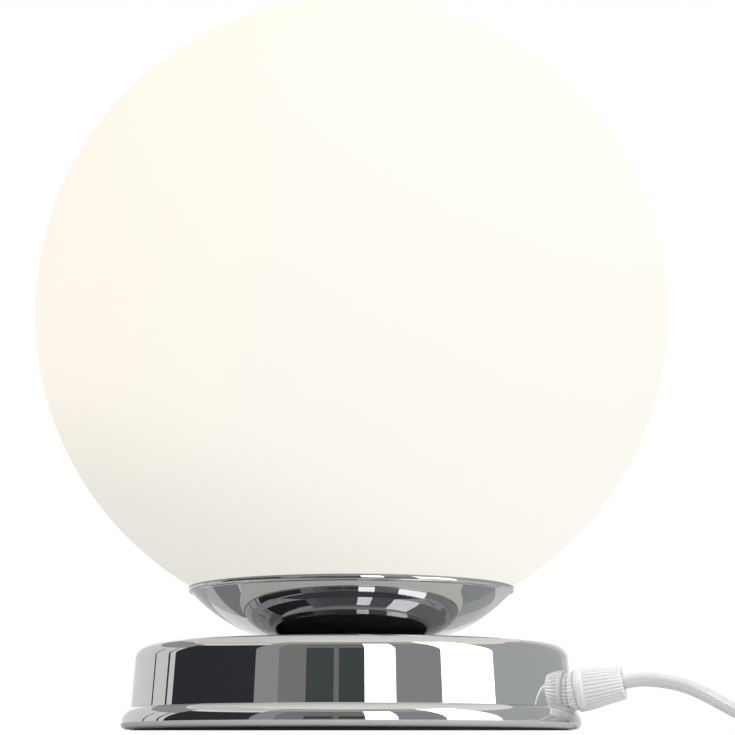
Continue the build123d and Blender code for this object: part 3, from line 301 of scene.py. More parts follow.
def finish(name, colour, roughness, metallic=0.0, **sockets):
    """A Principled finish and its shader, named after a record's slot."""
    material = bpy.data.materials.new(f"{name}_finish")
    material.use_nodes = True
    shader = material.node_tree.nodes["Principled BSDF"]
    shader.inputs["Base Color"].default_value = (*colour, 1.0)
    shader.inputs["Roughness"].default_value = roughness
    shader.inputs["Metallic"].default_value = metallic
    for socket, value in sockets.items():
        shader.inputs[socket.replace("_", " ")].default_value = value
    return material, shader


def finish_of(slot):
    """The finish made for a record's slot."""
    return bpy.data.materials[f"{slot}_finish"]


def surface_noise(material, scale, detail, stretch=(1.0, 1.0, 1.0)):
    """A noise pattern that is fixed to the piece."""
    nodes, links = material.node_tree.nodes, material.node_tree.links
    place = nodes.new("ShaderNodeTexCoord")
    mapping = nodes.new("ShaderNodeMapping")
    mapping.inputs["Scale"].default_value = stretch
    noise = nodes.new("ShaderNodeTexNoise")
    noise.inputs["Scale"].default_value = scale
    noise.inputs["Detail"].default_value = detail
    links.new(place.outputs["Object"], mapping.inputs["Vector"])
    links.new(mapping.outputs["Vector"], noise.inputs["Vector"])
    return noise


def vary_roughness(material, shader, noise, low, high):
    """Roughness that follows the noise between two values."""
    ramp = material.node_tree.nodes.new("ShaderNodeMapRange")
    ramp.inputs["From Min"].default_value = NOISE_LOW
    ramp.inputs["From Max"].default_value = NOISE_HIGH
    ramp.inputs["To Min"].default_value = low
    ramp.inputs["To Max"].default_value = high
    material.node_tree.links.new(noise.outputs["Fac"], ramp.inputs["Value"])
    material.node_tree.links.new(ramp.outputs["Result"], shader.inputs["Roughness"])


def bump(material, shader, noise, depth):
    """Relief that follows the noise, its depth in metres."""
    node = material.node_tree.nodes.new("ShaderNodeBump")
    node.inputs["Distance"].default_value = depth
    node.inputs["Strength"].default_value = 1.0
    material.node_tree.links.new(noise.outputs["Fac"], node.inputs["Height"])
    material.node_tree.links.new(node.outputs["Normal"], shader.inputs["Normal"])


def colour_mix(material, second):
    """A node that mixes a first colour, still to be given, with a second one."""
    mix = material.node_tree.nodes.new("ShaderNodeMix")
    mix.data_type = "RGBA"
    mix.inputs["B"].default_value = (*second, 1.0)
    return mix


def darken_in_places(material, shader, noise, colour, share):
    """Base colour that follows the noise between a share of the colour and the whole of it."""
    mix = colour_mix(material, colour)
    mix.inputs["A"].default_value = (*(share * c for c in colour), 1.0)
    material.node_tree.links.new(noise.outputs["Fac"], mix.inputs["Factor"])
    material.node_tree.links.new(mix.outputs["Result"], shader.inputs["Base Color"])


def chrome_finish(metal):
    """Polished chrome, its polish very slightly uneven."""
    material, shader = finish("chrome", metal.chrome, metal.polish, metallic=0.98)
    noise = surface_noise(material, scale=900.0, detail=2.0)
    vary_roughness(material, shader, noise, low=metal.polish * 0.7, high=metal.polish * 1.4)
    return material


def slope_along(material, direction, start, end):
    """A factor that rises from 0 to 1 between two distances from the globe's centre."""
    nodes, links = material.node_tree.nodes, material.node_tree.links
    place = nodes.new("ShaderNodeTexCoord")
    centre = nodes.new("ShaderNodeVectorMath")
    centre.operation = "SUBTRACT"
    centre.inputs[1].default_value = (0.0, 0.0, GLOBE_HIGH.z - (GLOBE_HIGH.x - GLOBE_LOW.x) / 2)
    along = nodes.new("ShaderNodeVectorMath")
    along.operation = "DOT_PRODUCT"
    along.inputs[1].default_value = direction
    ramp = nodes.new("ShaderNodeMapRange")
    ramp.interpolation_type = "SMOOTHSTEP"
    ramp.inputs["From Min"].default_value = start * MM
    ramp.inputs["From Max"].default_value = end * MM
    links.new(place.outputs["Object"], centre.inputs[0])
    links.new(centre.outputs["Vector"], along.inputs[0])
    links.new(along.outputs["Value"], ramp.inputs["Value"])
    return ramp.outputs["Result"]


def opal_finish(glass):
    """Opal glass that the bulb shines through, its light given as emission on the glass; dimmer low
    down and towards -X, which is painted shade, and warmer on one side.
    """
    material, shader = finish(
        "opal_glass", glass.opal, roughness=0.6, Emission_Strength=1.0, Specular_IOR_Level=0.0
    )
    noise = surface_noise(material, scale=60.0, detail=2.0)
    vary_roughness(material, shader, noise, low=0.56, high=0.64)
    links = material.node_tree.links
    colour = None
    for name, direction, start, end in GLOW_CHANGES:
        mix = colour_mix(material, getattr(glass, name))
        links.new(slope_along(material, direction, start, end), mix.inputs["Factor"])
        if colour:
            links.new(colour, mix.inputs["A"])
        else:
            mix.inputs["A"].default_value = (*glass.glow, 1.0)
        colour = mix.outputs["Result"]
    links.new(colour, shader.inputs["Emission Color"])
    return material


def plastic_finish(name, colour, roughness, grain=0.0, **sockets):
    """A plain plastic with a fine grain in its gloss and colour, and in its relief if asked."""
    material, shader = finish(name, colour, roughness, **sockets)
    noise = surface_noise(material, scale=1400.0, detail=4.0)
    vary_roughness(material, shader, noise, low=roughness * 0.88, high=roughness * 1.12)
    darken_in_places(material, shader, noise, colour, share=0.97)
    if grain:
        bump(material, shader, noise, grain)
    return material


def metal_finish(name, colour, roughness):
    """Unpolished metal, its noise finer up and down than across."""
    material, shader = finish(name, colour, roughness, metallic=1.0)
    noise = surface_noise(material, scale=260.0, detail=3.0, stretch=(1.0, 1.0, 6.0))
    vary_roughness(material, shader, noise, low=roughness * 0.85, high=roughness * 1.15)
    darken_in_places(material, shader, noise, colour, share=0.94)
    return material


def finishes(scene):
    """Every finish, by the record's slot name."""
    made = {
        "chrome": chrome_finish(scene.lamp_metal),
        "opal_glass": opal_finish(scene.lamp_glass),
        "grip_plastic": plastic_finish(
            "grip_plastic",
            scene.lamp_grip.plastic,
            roughness=0.2,
            Coat_Weight=1.0,
            Coat_IOR=1.65,
            Coat_Roughness=0.1,
        ),
        "cord_sheath": plastic_finish(
            "cord_sheath",
            scene.lamp_cord.sheath,
            roughness=0.2,
            Coat_Weight=1.0,
            Coat_IOR=1.8,
            Coat_Roughness=0.08,
        ),
    }
    for slot, (colour, roughness, grain) in PLASTICS.items():
        made[slot] = plastic_finish(slot, colour, roughness, grain)
    for slot, (colour, roughness) in METALS.items():
        made[slot] = metal_finish(slot, colour, roughness)
    return made


# ---------------------------------------------------------------- meshes
def new_object(name, bm):
    """An object in the scene that has the finished mesh."""
    mesh = bpy.data.meshes.new(name)
    bm.to_mesh(mesh)
    bm.free()
    made = bpy.data.objects.new(name, mesh)
    bpy.context.scene.collection.objects.link(made)
    return made


def link_piece(name, bm, slot, body, replaced, sharp=30.0):
    """Makes the mesh a piece that rides on its body and stands for a CAD node.

    Edges that turn more than the sharp angle, in degrees, stay sharp when shaded.
    """
    for face in bm.faces:
        face.smooth = True
    for edge in bm.edges:
        edge.smooth = edge.calc_face_angle(0.0) < radians(sharp)
    piece = new_object(name, bm)
    piece.data.materials.append(finish_of(slot))
    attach(piece, body)
    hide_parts(replaced)


def verts_in(geom):
    """The vertices among what a mesh operator gives back."""
    return [part for part in geom if isinstance(part, bmesh.types.BMVert)]


def open_edges_in(geom):
    """The open edges among what a mesh operator gives back."""
    return [part for part in geom if isinstance(part, bmesh.types.BMEdge) and part.is_boundary]


def start_profile(bm, radius, height):
    """The first point of a profile in the XZ plane, in millimetres."""
    return bm.verts.new((radius * MM, 0.0, height * MM))


def line_to(bm, start, radius, height):
    """A straight stretch of a profile."""
    end = bm.verts.new((radius * MM, 0.0, height * MM))
    bm.edges.new((start, end))
    return end


def arc_about(bm, start, radius, height, turn, steps):
    """A round stretch of a profile about a centre, positive from +Z towards +X."""
    centre = (radius * MM, 0.0, height * MM)
    turned = bmesh.ops.spin(
        bm, geom=[start], cent=centre, axis=(0.0, 1.0, 0.0), angle=turn, steps=steps
    )
    return verts_in(turned["geom_last"])[0]


def round_off(bm, geom, reach, segments, affect="VERTICES", clamp=False):
    """Rounds a profile's corners, or a solid's edges, from a reach in millimetres on each side."""
    bmesh.ops.bevel(
        bm,
        geom=geom,
        offset=reach * MM,
        offset_type="OFFSET",
        segments=segments,
        profile=0.5,
        affect=affect,
        clamp_overlap=clamp,
        material=-1,
    )


def turn_profile(bm, steps):
    """Spins the profile round the lamp's axis into a closed skin with its faces outwards."""
    profile = bm.verts[:] + bm.edges[:]
    bmesh.ops.spin(
        bm, geom=profile, cent=ORIGIN, axis=UP, angle=2 * pi, steps=steps, use_merge=True
    )
    bmesh.ops.remove_doubles(bm, verts=bm.verts[:], dist=SAME_POINT)
    bmesh.ops.recalc_face_normals(bm, faces=bm.faces[:])


# ---------------------------------------------------------------- the pieces
class LAMP_OT_finishes(bpy.types.Operator):
    """Gives every CAD node the finish of its slot"""

    bl_idname = "lamp.finishes"
    bl_label = "Finishes"

    def execute(self, context):
        made = finishes(context.scene)
        for entry in frame["record"]["subparts"]:
            node = NODES[entry["node"]]
            node.data.materials.clear()
            node.data.materials.append(made[entry["material_slot"]])
        return {"FINISHED"}


class LAMP_OT_globe(bpy.types.Operator):
    """The opal globe, open underneath"""

    bl_idname = "lamp.globe"
    bl_label = "Globe"

    def execute(self, context):
        glass = context.scene.lamp_glass
        outer = (GLOBE_HIGH.x - GLOBE_LOW.x) / 2 / MM
        centre = GLOBE_HIGH.z / MM - outer
        inner = outer - glass.wall
        low = asin(glass.opening / outer)
        low_inside = asin(glass.opening / inner)
        bm = bmesh.new()
        foot = start_profile(bm, glass.opening, centre - outer * cos(low))
        crown = arc_about(bm, foot, 0.0, centre, low - pi, steps=96)
        foot_inside = line_to(bm, foot, glass.opening, centre - inner * cos(low_inside))
        crown_inside = arc_about(bm, foot_inside, 0.0, centre, low_inside - pi, steps=72)
        for top in (crown, crown_inside):
            top.co.x = 0.0
        round_off(bm, [foot, foot_inside], glass.ground_edge, segments=5)
        turn_profile(bm, steps=192)
        link_piece("opal_globe", bm, "opal_glass", "globe", "glass_globe")
        return {"FINISHED"}


class LAMP_OT_bowl(bpy.types.Operator):
    """The chrome bowl under the globe"""

    bl_idname = "lamp.bowl"
    bl_label = "Bowl"

    def execute(self, context):
        metal = context.scene.lamp_metal
        mouth = (BOWL_HIGH.x - BOWL_LOW.x) / 2 / MM
        bottom, rim = BOWL_LOW.z / MM, BOWL_HIGH.z / MM
        depth = rim - bottom
        run = mouth - metal.bowl_flat
        curve = (run**2 + depth**2) / (2 * depth)
        centre = bottom + curve
        inside = curve - metal.bowl_sheet
        lean = metal.bead_lean
        bm = bmesh.new()
        hole = start_profile(bm, metal.nipple, bottom)
        edge = line_to(bm, hole, metal.bowl_flat, bottom)
        sweep = asin((run - metal.bead * (1 + cos(lean))) / curve)
        neck = arc_about(bm, edge, metal.bowl_flat, centre, -sweep, steps=48)
        bead_side = neck.co.x / MM + metal.bead * cos(lean)
        bead_height = neck.co.z / MM + metal.bead * sin(lean)
        lip = arc_about(bm, neck, bead_side, bead_height, -(pi + lean), steps=20)
        hole_inside = line_to(bm, hole, metal.nipple, bottom + metal.bowl_sheet)
        edge_inside = line_to(bm, hole_inside, metal.bowl_flat, bottom + metal.bowl_sheet)
        sweep_inside = acos((centre - rim + metal.bead) / inside)
        lip_inside = arc_about(bm, edge_inside, metal.bowl_flat, centre, -sweep_inside, steps=48)
        bm.edges.new((lip, lip_inside))
        turn_profile(bm, steps=256)
        link_piece("chrome_bowl", bm, "chrome", "lamp", "bowl")
        return {"FINISHED"}


class LAMP_OT_base(bpy.types.Operator):
    """The base shell with its shoulder and turned-under flange"""

    bl_idname = "lamp.base"
    bl_label = "Base"

    def execute(self, context):
        metal = context.scene.lamp_metal
        top, low = BASE_HIGH.z / MM, BASE_LOW.z / MM
        tip = (BASE_HIGH.x - BASE_LOW.x) / 2 / MM
        sheet = metal.base_sheet
        bm = bmesh.new()
        hole = start_profile(bm, metal.nipple, top)
        shoulder = line_to(bm, hole, metal.wall_top, top)
        foot = line_to(bm, shoulder, metal.wall_foot, metal.foot_height)
        rise = metal.foot_height - metal.tip_height
        run = tip - metal.wall_foot
        flare = (run**2 + rise**2) / (2 * run)
        knee = arc_about(bm, foot, tip - flare, metal.tip_height, 2 * atan2(run, rise), steps=16)
        drop, back = metal.tip_height - low, tip - metal.lip_radius
        roll = (back**2 + drop**2) / (2 * back)
        lip = arc_about(bm, knee, tip - roll, metal.tip_height, 2 * atan2(back, drop), steps=12)
        turned = line_to(bm, lip, metal.lip_radius - metal.lip_return, low)
        turned_up = line_to(bm, turned, metal.lip_radius - metal.lip_return, low + sheet)
        inside_lip = line_to(bm, turned_up, metal.lip_radius, low + sheet)
        inside_tip = line_to(bm, inside_lip, tip - sheet, metal.tip_height)
        inside_foot = line_to(bm, inside_tip, metal.wall_foot - sheet, metal.foot_height)
        inside_shoulder = line_to(bm, inside_foot, metal.wall_top - sheet, top - sheet)
        hole_inside = line_to(bm, inside_shoulder, metal.nipple, top - sheet)
        bm.edges.new((hole_inside, hole))
        slope = atan2(metal.wall_foot - metal.wall_top, top - metal.foot_height)
        reach = tan((pi / 2 - slope) / 2)
        round_off(bm, [shoulder], metal.shoulder * reach, segments=20)
        round_off(bm, [inside_shoulder], (metal.shoulder - sheet) * reach, segments=20)
        turn_profile(bm, steps=256)
        link_piece("chrome_base", bm, "chrome", "lamp", "base_shell", sharp=40.0)
        return {"FINISHED"}


# The rounded edges of the cap's smooth ring, in millimetres: how far each corner lies inside the
# ring's radius, and how far it lies beyond the ring's start or before its end.
RING_START_EDGE = ((0.7, 0.0), (0.2, 0.3), (0.0, 0.8))
RING_END_EDGE = ((0.0, 0.35), (0.12, 0.08))

# The rounding of the ribs' ends: each step's shares of it, along the axis and inwards.
RIB_END_STEPS = ((0.65, 0.25), (0.35, 0.6))

STEPS_PER_RIB = 6


def open_loop_at(bm, height):
    """The open edges of a mesh at one height, in metres."""
    open_edges = [edge for edge in bm.edges if edge.is_boundary]
    return [edge for edge in open_edges if abs(edge.verts[0].co.z - height) < SAME_POINT]


def cap_core(bm, grip):
    """The cap without its ribs, and the open loops at its mouth and at the ring's end."""
    corners = [
        (grip.mouth, grip.reach - grip.mouth_depth),
        (grip.cone_small, grip.reach - grip.cone_depth),
        (grip.cone_large, grip.thread_end),
        (grip.thread, grip.thread_end),
        (grip.thread, grip.ring_start),
    ]
    corners += [(grip.ring - less, grip.ring_start + beyond) for less, beyond in RING_START_EDGE]
    corners += [(grip.ring - less, grip.ring_end - before) for less, before in RING_END_EDGE]
    last = start_profile(bm, grip.mouth, grip.reach)
    mouth_height = last.co.z
    for radius, height in corners:
        last = line_to(bm, last, radius, height)
    ring_height = last.co.z
    turn_profile(bm, grip.ribs * STEPS_PER_RIB)
    return open_loop_at(bm, mouth_height), open_loop_at(bm, ring_height)


def rib_outline(bm, grip):
    """The closed line round the ribs where they begin: one rounded rib, turned round the axis."""
    half = pi / grip.ribs
    chord, foot = grip.start * sin(half), grip.start * cos(half)
    rib_curve = (chord**2 + grip.rib_depth**2) / (2 * grip.rib_depth)
    middle = foot + grip.rib_depth - rib_curve
    start = bm.verts.new(mm(foot, -chord, grip.ring_end))
    bmesh.ops.spin(
        bm,
        geom=[start],
        cent=mm(middle, 0.0, grip.ring_end),
        axis=UP,
        angle=2 * asin(chord / rib_curve),
        steps=STEPS_PER_RIB,
    )
    rib = [edge for edge in bm.edges if edge.is_wire]
    rib += list({vert for edge in rib for vert in edge.verts})
    bmesh.ops.spin(
        bm, geom=rib, cent=ORIGIN, axis=UP, angle=2 * pi, steps=grip.ribs, use_duplicate=True
    )
    bmesh.ops.remove_doubles(bm, verts=[v for v in bm.verts if v.is_wire], dist=SAME_SEAM)
    return [edge for edge in bm.edges if edge.is_wire]


class LAMP_OT_grip(bpy.types.Operator):
    """The cord grip's cap: a smooth ring and a tapered length with rounded ribs"""

    bl_idname = "lamp.grip"
    bl_label = "Cord grip"

    def execute(self, context):
        grip = context.scene.lamp_grip
        bm = bmesh.new()
        mouth_loop, ring_loop = cap_core(bm, grip)
        ribbed = rib_outline(bm, grip)
        bmesh.ops.bridge_loops(bm, edges=ring_loop + ribbed)
        length = grip.reach - grip.rounding - grip.ring_end
        stretches = [(grip.straight, 1.0), (length - grip.straight, grip.end / grip.start)]
        stretches += [
            (grip.rounding * along, 1 - grip.rounding * inwards / grip.end)
            for along, inwards in RIB_END_STEPS
        ]
        for rise, shrink in stretches:
            grown = bmesh.ops.extrude_edge_only(bm, edges=ribbed)["geom"]
            moved, ribbed = verts_in(grown), open_edges_in(grown)
            bmesh.ops.translate(bm, vec=mm(0.0, 0.0, rise), verts=moved)
            bmesh.ops.scale(bm, vec=(shrink, shrink, 1.0), verts=moved)
        bmesh.ops.bridge_loops(bm, edges=mouth_loop + ribbed)
        bmesh.ops.recalc_face_normals(bm, faces=bm.faces[:])
        across = Vector((cos(grip.azimuth), sin(grip.azimuth), 0.0))
        axis = across * cos(grip.tilt) + Vector((0.0, 0.0, sin(grip.tilt)))
        turned = axis.to_track_quat("Z", "Y").to_matrix()
        place = across * grip.wall * MM + mm(0.0, 0.0, grip.height)
        bmesh.ops.rotate(bm, verts=bm.verts[:], cent=ORIGIN, matrix=turned)
        bmesh.ops.translate(bm, vec=place, verts=bm.verts[:])
        link_piece("ribbed_cap", bm, "grip_plastic", "lamp", "grip_cap", sharp=50.0)
        return {"FINISHED"}


# Rounding of each moulding's edges, in millimetres.
MOULDED = {
    "switch_case_bottom": 0.5,
    "switch_case_top": 0.6,
    "switch_rocker": 0.4,
    "plug_body": 0.9,
    "grip_body": 0.12,
    "holder_skirt": 0.4,
}

# Faces of a moulding that meet at less than the first angle are one face, and edges that turn
# more than the second are rounded.
FLAT_ANGLE, EDGE_ANGLE = radians(2.0), radians(32.0)


class LAMP_OT_mouldings(bpy.types.Operator):
    """Plastic mouldings with softened edges, in place of their plain forms"""

    bl_idname = "lamp.mouldings"
    bl_label = "Mouldings"

    def execute(self, context):
        record = frame["record"]
        slots = {entry["node"]: entry["material_slot"] for entry in record["subparts"]}
        members = record["behaviour"]["bodies"].items()
        bodies = {node: body for body, nodes in members for node in nodes}
        for node, edge_round in MOULDED.items():
            bm = bmesh.new()
            bm.from_mesh(NODES[node].data)
            bmesh.ops.remove_doubles(bm, verts=bm.verts[:], dist=SAME_SEAM)
            bmesh.ops.dissolve_limit(
                bm, angle_limit=FLAT_ANGLE, verts=bm.verts[:], edges=bm.edges[:]
            )
            edges = [e for e in bm.edges if e.is_manifold and e.calc_face_angle(0.0) > EDGE_ANGLE]
            round_off(bm, edges, edge_round, segments=4, affect="EDGES", clamp=True)
            link_piece(f"{node}_moulded", bm, slots[node], bodies[node], node, sharp=35.0)
        return {"FINISHED"}


# How far the tie's loose end lies above the band at its start and tip, in thicknesses of the tape.
FLAP_LIFTS = (0.35, 0.3)

TIE_CUTS = 3
TIE_STRIPS = 8


class LAMP_OT_tie(bpy.types.Operator):
    """The soft tape round the coil, closed by its overlapping end"""

    bl_idname = "lamp.tie"
    bl_label = "Coil tie"

    def execute(self, context):
        tie = context.scene.lamp_tie
        low, high = TIE_LOW / MM, TIE_HIGH / MM
        inset = tie.tape / 2
        left, right, bottom, top = low.x + inset, high.x - inset, low.z + inset, high.z - inset
        bm = bmesh.new()
        corners = [
            bm.verts.new(mm(x, low.y, z))
            for x, z in ((left, bottom), (right, bottom), (right, top), (left, top))
        ]
        for start, end in zip(corners, corners[1:] + corners[:1]):
            bm.edges.new((start, end))
        round_off(bm, corners, tie.corner, segments=8)
        bm.edges.new(
            [
                bm.verts.new(mm(x, low.y + tie.flap_aside, high.z + tie.tape * lift))
                for x, lift in zip((low.x + tie.flap_start, high.x - tie.flap_end), FLAP_LIFTS)
            ]
        )
        bmesh.ops.subdivide_edges(bm, edges=bm.edges[:], cuts=TIE_CUTS)
        step = mm(0.0, (high.y - low.y) / TIE_STRIPS, 0.0)
        loop = bm.edges[:]
        for _ in range(TIE_STRIPS):
            grown = bmesh.ops.extrude_edge_only(bm, edges=loop)["geom"]
            moved = verts_in(grown)
            loop = [edge for edge in open_edges_in(grown) if all(v in moved for v in edge.verts)]
            bmesh.ops.translate(bm, vec=step, verts=moved)
        bmesh.ops.recalc_face_normals(bm, faces=bm.faces[:])
        bmesh.ops.solidify(bm, geom=bm.faces[:], thickness=tie.tape * MM)
        bmesh.ops.recalc_face_normals(bm, faces=bm.faces[:])
        link_piece("tape_tie", bm, "tie_tape", "lamp", "coil_tie", sharp=50.0)
        return {"FINISHED"}


# ---------------------------------------------------------------- cords
# Routes in millimetres, which the cords follow smoothly.
LEAD_ROUTE = [
    (57.61, -13.30, 10.92),
    (69.17, -15.97, 13.01),
    (80.739, -18.640, 15.109),
    (86.492, -19.968, 16.151),
    (92.3, -21.3, 15.7),
    (98.4, -22.7, 14.45),
    (104.5, -24.1, 11.9),
    (110.7, -25.6, 8.2),
    (117.2, -27.1, 4.7),
    (124.6, -29.0, 2.7),
    (133.4, -31.6, 2.2),
    (145.0, -36.6, 2.15),
    (160.5, -44.6, 2.15),
    (178.5, -56.2, 2.15),
    (198.5, -66.8, 2.15),
    (218.5, -73.0, 2.15),
    (237.2, -73.3, 2.15),
    (251.6, -63.6, 2.15),
    (257.3, -47.2, 2.5),
    (252.2, -30.6, 4.4),
    (238.4, -20.0, 6.4),
    (222.0, -20.0, 6.4),
]
TAIL_ROUTE = [
    (174.0, -20.0, 6.4),
    (162.6, -20.0, 6.4),
    (146.2, -20.3, 3.2),
    (132.0, -11.7, 2.15),
    (126.0, 4.0, 2.15),
    (130.3, 20.4, 2.15),
    (143.9, 30.5, 2.3),
    (160.6, 31.5, 2.95),
]
COIL_START = (182.0, 31.5)
END_ROUTE = [
    (200.0, 31.5, 17.05),
    (212.5, 33.0, 14.6),
    (224.5, 37.0, 9.4),
    (235.0, 43.3, 4.8),
    (243.4, 51.4, 3.2),
    (248.4, 60.0, 4.6),
    (250.0, 68.0, 6.8),
    (250.0, 76.0, 6.8),
]

POINTS_PER_HALF_TURN = 8


def coil_turns(cord):
    """Each half turn's radius and rise: in and out again, climbing where the spiral reverses."""
    turns = []
    radius = cord.first_radius
    for layer, count in enumerate(cord.layers):
        step = cord.pitch / 2 if layer % 2 else -cord.pitch / 2
        for _ in range(count):
            turns.append((radius, 0.0))
            radius += step
        if layer < len(cord.layers) - 1:
            turns.append((radius, cord.pitch))
            radius -= step
    return turns


def coil_points(cord):
    """The coil's control points, about which the spline's round turns lie."""
    places = []
    place = Vector((*COIL_START, COIL_LOW.z / MM + cord.diameter / 2))
    half_step = pi / POINTS_PER_HALF_TURN / 2
    for number, (radius, rise) in enumerate(coil_turns(cord)):
        side = -1 if number % 2 else 1
        across = Vector((0.0, side * 2 * radius, rise))
        centre = place + across / 2
        outward = Vector((side * across.length / 2, 0.0, 0.0))
        for k in range(POINTS_PER_HALF_TURN):
            turn = (2 * k + 1) * half_step
            spoke = outward * sin(turn) - across / 2 * cos(turn)
            places.append(centre + spoke / cos(half_step))
        place = place + across
    return places


def cord_curve(name, places, cord):
    """A round cord along the smooth line that the places control, in millimetres."""
    curve = bpy.data.curves.new(name, "CURVE")
    curve.dimensions = "3D"
    curve.bevel_depth = cord.diameter / 2 * MM
    curve.bevel_resolution = 5
    curve.resolution_u = 10
    curve.use_fill_caps = True
    spline = curve.splines.new("NURBS")
    spline.points.add(len(places) - 1)
    for point, place in zip(spline.points, places):
        point.co = (*(Vector(place) * MM), 1.0)
    spline.order_u = 3
    spline.use_endpoint_u = True
    curve.materials.append(finish_of("cord_sheath"))
    piece = bpy.data.objects.new(name, curve)
    bpy.context.scene.collection.objects.link(piece)
    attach(piece, "lamp")
    return piece


class LAMP_OT_cords(bpy.types.Operator):
    """The mains cord: from the grip to the switch, and on through its coil to the plug"""

    bl_idname = "lamp.cords"
    bl_label = "Cords"

    def execute(self, context):
        cord = context.scene.lamp_cord
        lead = cord_curve("mains_lead", LEAD_ROUTE, cord)
        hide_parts("cord_in_grip", "cord_lead")
        put_away = cord_curve("mains_cord", TAIL_ROUTE + coil_points(cord) + END_ROUTE, cord)
        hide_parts("cord_tail", "cord_coil", "cord_end")
        return {"FINISHED"}


# ---------------------------------------------------------------- stage
IN_FRONT = 40.0
BLUE_NIGHT = (0.85, 0.95, 1.2)
BLUE_FLOOR = (0.85, 0.95, 1.1)
PANE = (0.8, 1.0, 1.0)
GREENISH = (0.96, 1.0, 0.98)

# The upright panels that only mirrors see: name, sides as directions from the front towards +X,
# lower and upper edge as heights above the table seen from the lamp, all in degrees, brightness
# (none for a softbox, which has the stage's), colour, and how many millimetres nearer than the
# others it stands.
PANELS = (
    ("left_wall", (-156, -101.5), (-6, 28), 0.80, WHITE, 0.0),
    ("left_wall_upper", (-156, -101.5), (28, 43), 0.37, WHITE, 0.0),
    ("left_post_1", (-121.2, -119.8), (-2, 24), 0.03, WHITE, IN_FRONT),
    ("left_post_2", (-107.5, -105.9), (-2, 26), 0.03, WHITE, IN_FRONT),
    ("doorway", (-101.5, -48.5), (-4, 38), 0.028, BLUE_NIGHT, 0.0),
    ("front_wall_left", (-48.5, -36), (-6, 44), 0.345, WHITE, 0.0),
    ("front_wall_middle", (-36, -22), (-6, 44), 0.235, WHITE, 0.0),
    ("front_wall_right", (-22, 7.1), (-6, 44), 0.21, WHITE, 0.0),
    ("window_left", (-21.9, -8.1), (0, 17), 0.075, PANE, IN_FRONT),
    ("window_right", (-5.6, 7.1), (0, 17), 0.07, PANE, IN_FRONT),
    ("softbox_front", (7.1, 22.5), (-8, 44), None, WHITE, 0.0),
    ("side_wall", (22.5, 46.3), (-6, 44), 0.31, WHITE, 0.0),
    ("softbox_right", (46.3, 77), (-8, 58), None, WHITE, 0.0),
    ("right_wall", (77, 144), (-6, 44), 0.505, GREENISH, 0.0),
    ("right_wall_back", (144, 156), (-6, 44), 0.62, WHITE, 0.0),
    ("back_wall_right", (156, 168), (-6, 44), 0.82, WHITE, 0.0),
    ("back_wall", (168, 204), (-6, 60), 1.12, WHITE, 0.0),
    ("floor_front", (-156, 77), (-52, -6), 0.10, BLUE_FLOOR, 0.0),
    ("cornice_left", (-156, -48.5), (44, 60), 0.74, WHITE, 0.0),
    ("cornice_front", (-48.5, 46.3), (44, 60), 0.48, WHITE, 0.0),
    ("cornice_right", (77, 156), (44, 60), 1.0, WHITE, 0.0),
)

DEGREES_PER_FACE = 4


def plain_material(name, colour, white_for_camera=False):
    """A matt surface, which the camera may see as plain white."""
    material = bpy.data.materials.new(name)
    material.use_nodes = True
    nodes, links = material.node_tree.nodes, material.node_tree.links
    shader = nodes["Principled BSDF"]
    shader.inputs["Base Color"].default_value = (*colour, 1.0)
    shader.inputs["Roughness"].default_value = 0.6
    shader.inputs["Specular IOR Level"].default_value = 0.2
    if white_for_camera:
        rays = nodes.new("ShaderNodeLightPath")
        glow = nodes.new("ShaderNodeEmission")
        glow.inputs["Strength"].default_value = 1.0
        mix = nodes.new("ShaderNodeMixShader")
        links.new(rays.outputs["Is Camera Ray"], mix.inputs["Fac"])
        links.new(shader.outputs["BSDF"], mix.inputs[1])
        links.new(glow.outputs["Emission"], mix.inputs[2])
        links.new(mix.outputs["Shader"], nodes["Material Output"].inputs["Surface"])
    return material


def glow_material(name, colour, brightness):
    """A surface that only shines."""
    material = bpy.data.materials.new(name)
    material.use_nodes = True
    nodes, links = material.node_tree.nodes, material.node_tree.links
    nodes.remove(nodes["Principled BSDF"])
    glow = nodes.new("ShaderNodeEmission")
    glow.inputs["Color"].default_value = (*colour, 1.0)
    glow.inputs["Strength"].default_value = brightness
    links.new(glow.outputs["Emission"], nodes["Material Output"].inputs["Surface"])
    return material


def studio_panel(name, radius, sides, heights, brightness, colour):
    """An upright curved panel round the lamp, its radius in metres, that only mirrors see."""
    start, end = sides
    bm = bmesh.new()
    ends = [bm.verts.new((0.0, -radius, radius * tan(radians(height)))) for height in heights]
    bm.edges.new(ends)
    turn = Matrix.Rotation(radians(start), 3, "Z")
    bmesh.ops.rotate(bm, verts=bm.verts[:], cent=ORIGIN, matrix=turn)
    bmesh.ops.spin(
        bm,
        geom=bm.verts[:] + bm.edges[:],
        cent=ORIGIN,
        axis=UP,
        angle=radians(end - start),
        steps=max(2, round((end - start) / DEGREES_PER_FACE)),
    )
    panel = new_object(name, bm)
    panel.data.materials.append(glow_material(name, colour, brightness))
    panel.visible_camera = False
    panel.visible_diffuse = False
    panel.visible_shadow = False
    panel.visible_transmission = False


class LAMP_OT_studio(bpy.types.Operator):
    """The dark and light surroundings that the chrome mirrors"""

    bl_idname = "lamp.studio"
    bl_label = "Studio"

    def execute(self, context):
        stage = context.scene.lamp_stage
        for name, sides, heights, brightness, colour, nearer in PANELS:
            radius = (stage.panel_radius - nearer) * MM
            studio_panel(name, radius, sides, heights, brightness or stage.softbox, colour)
        return {"FINISHED"}


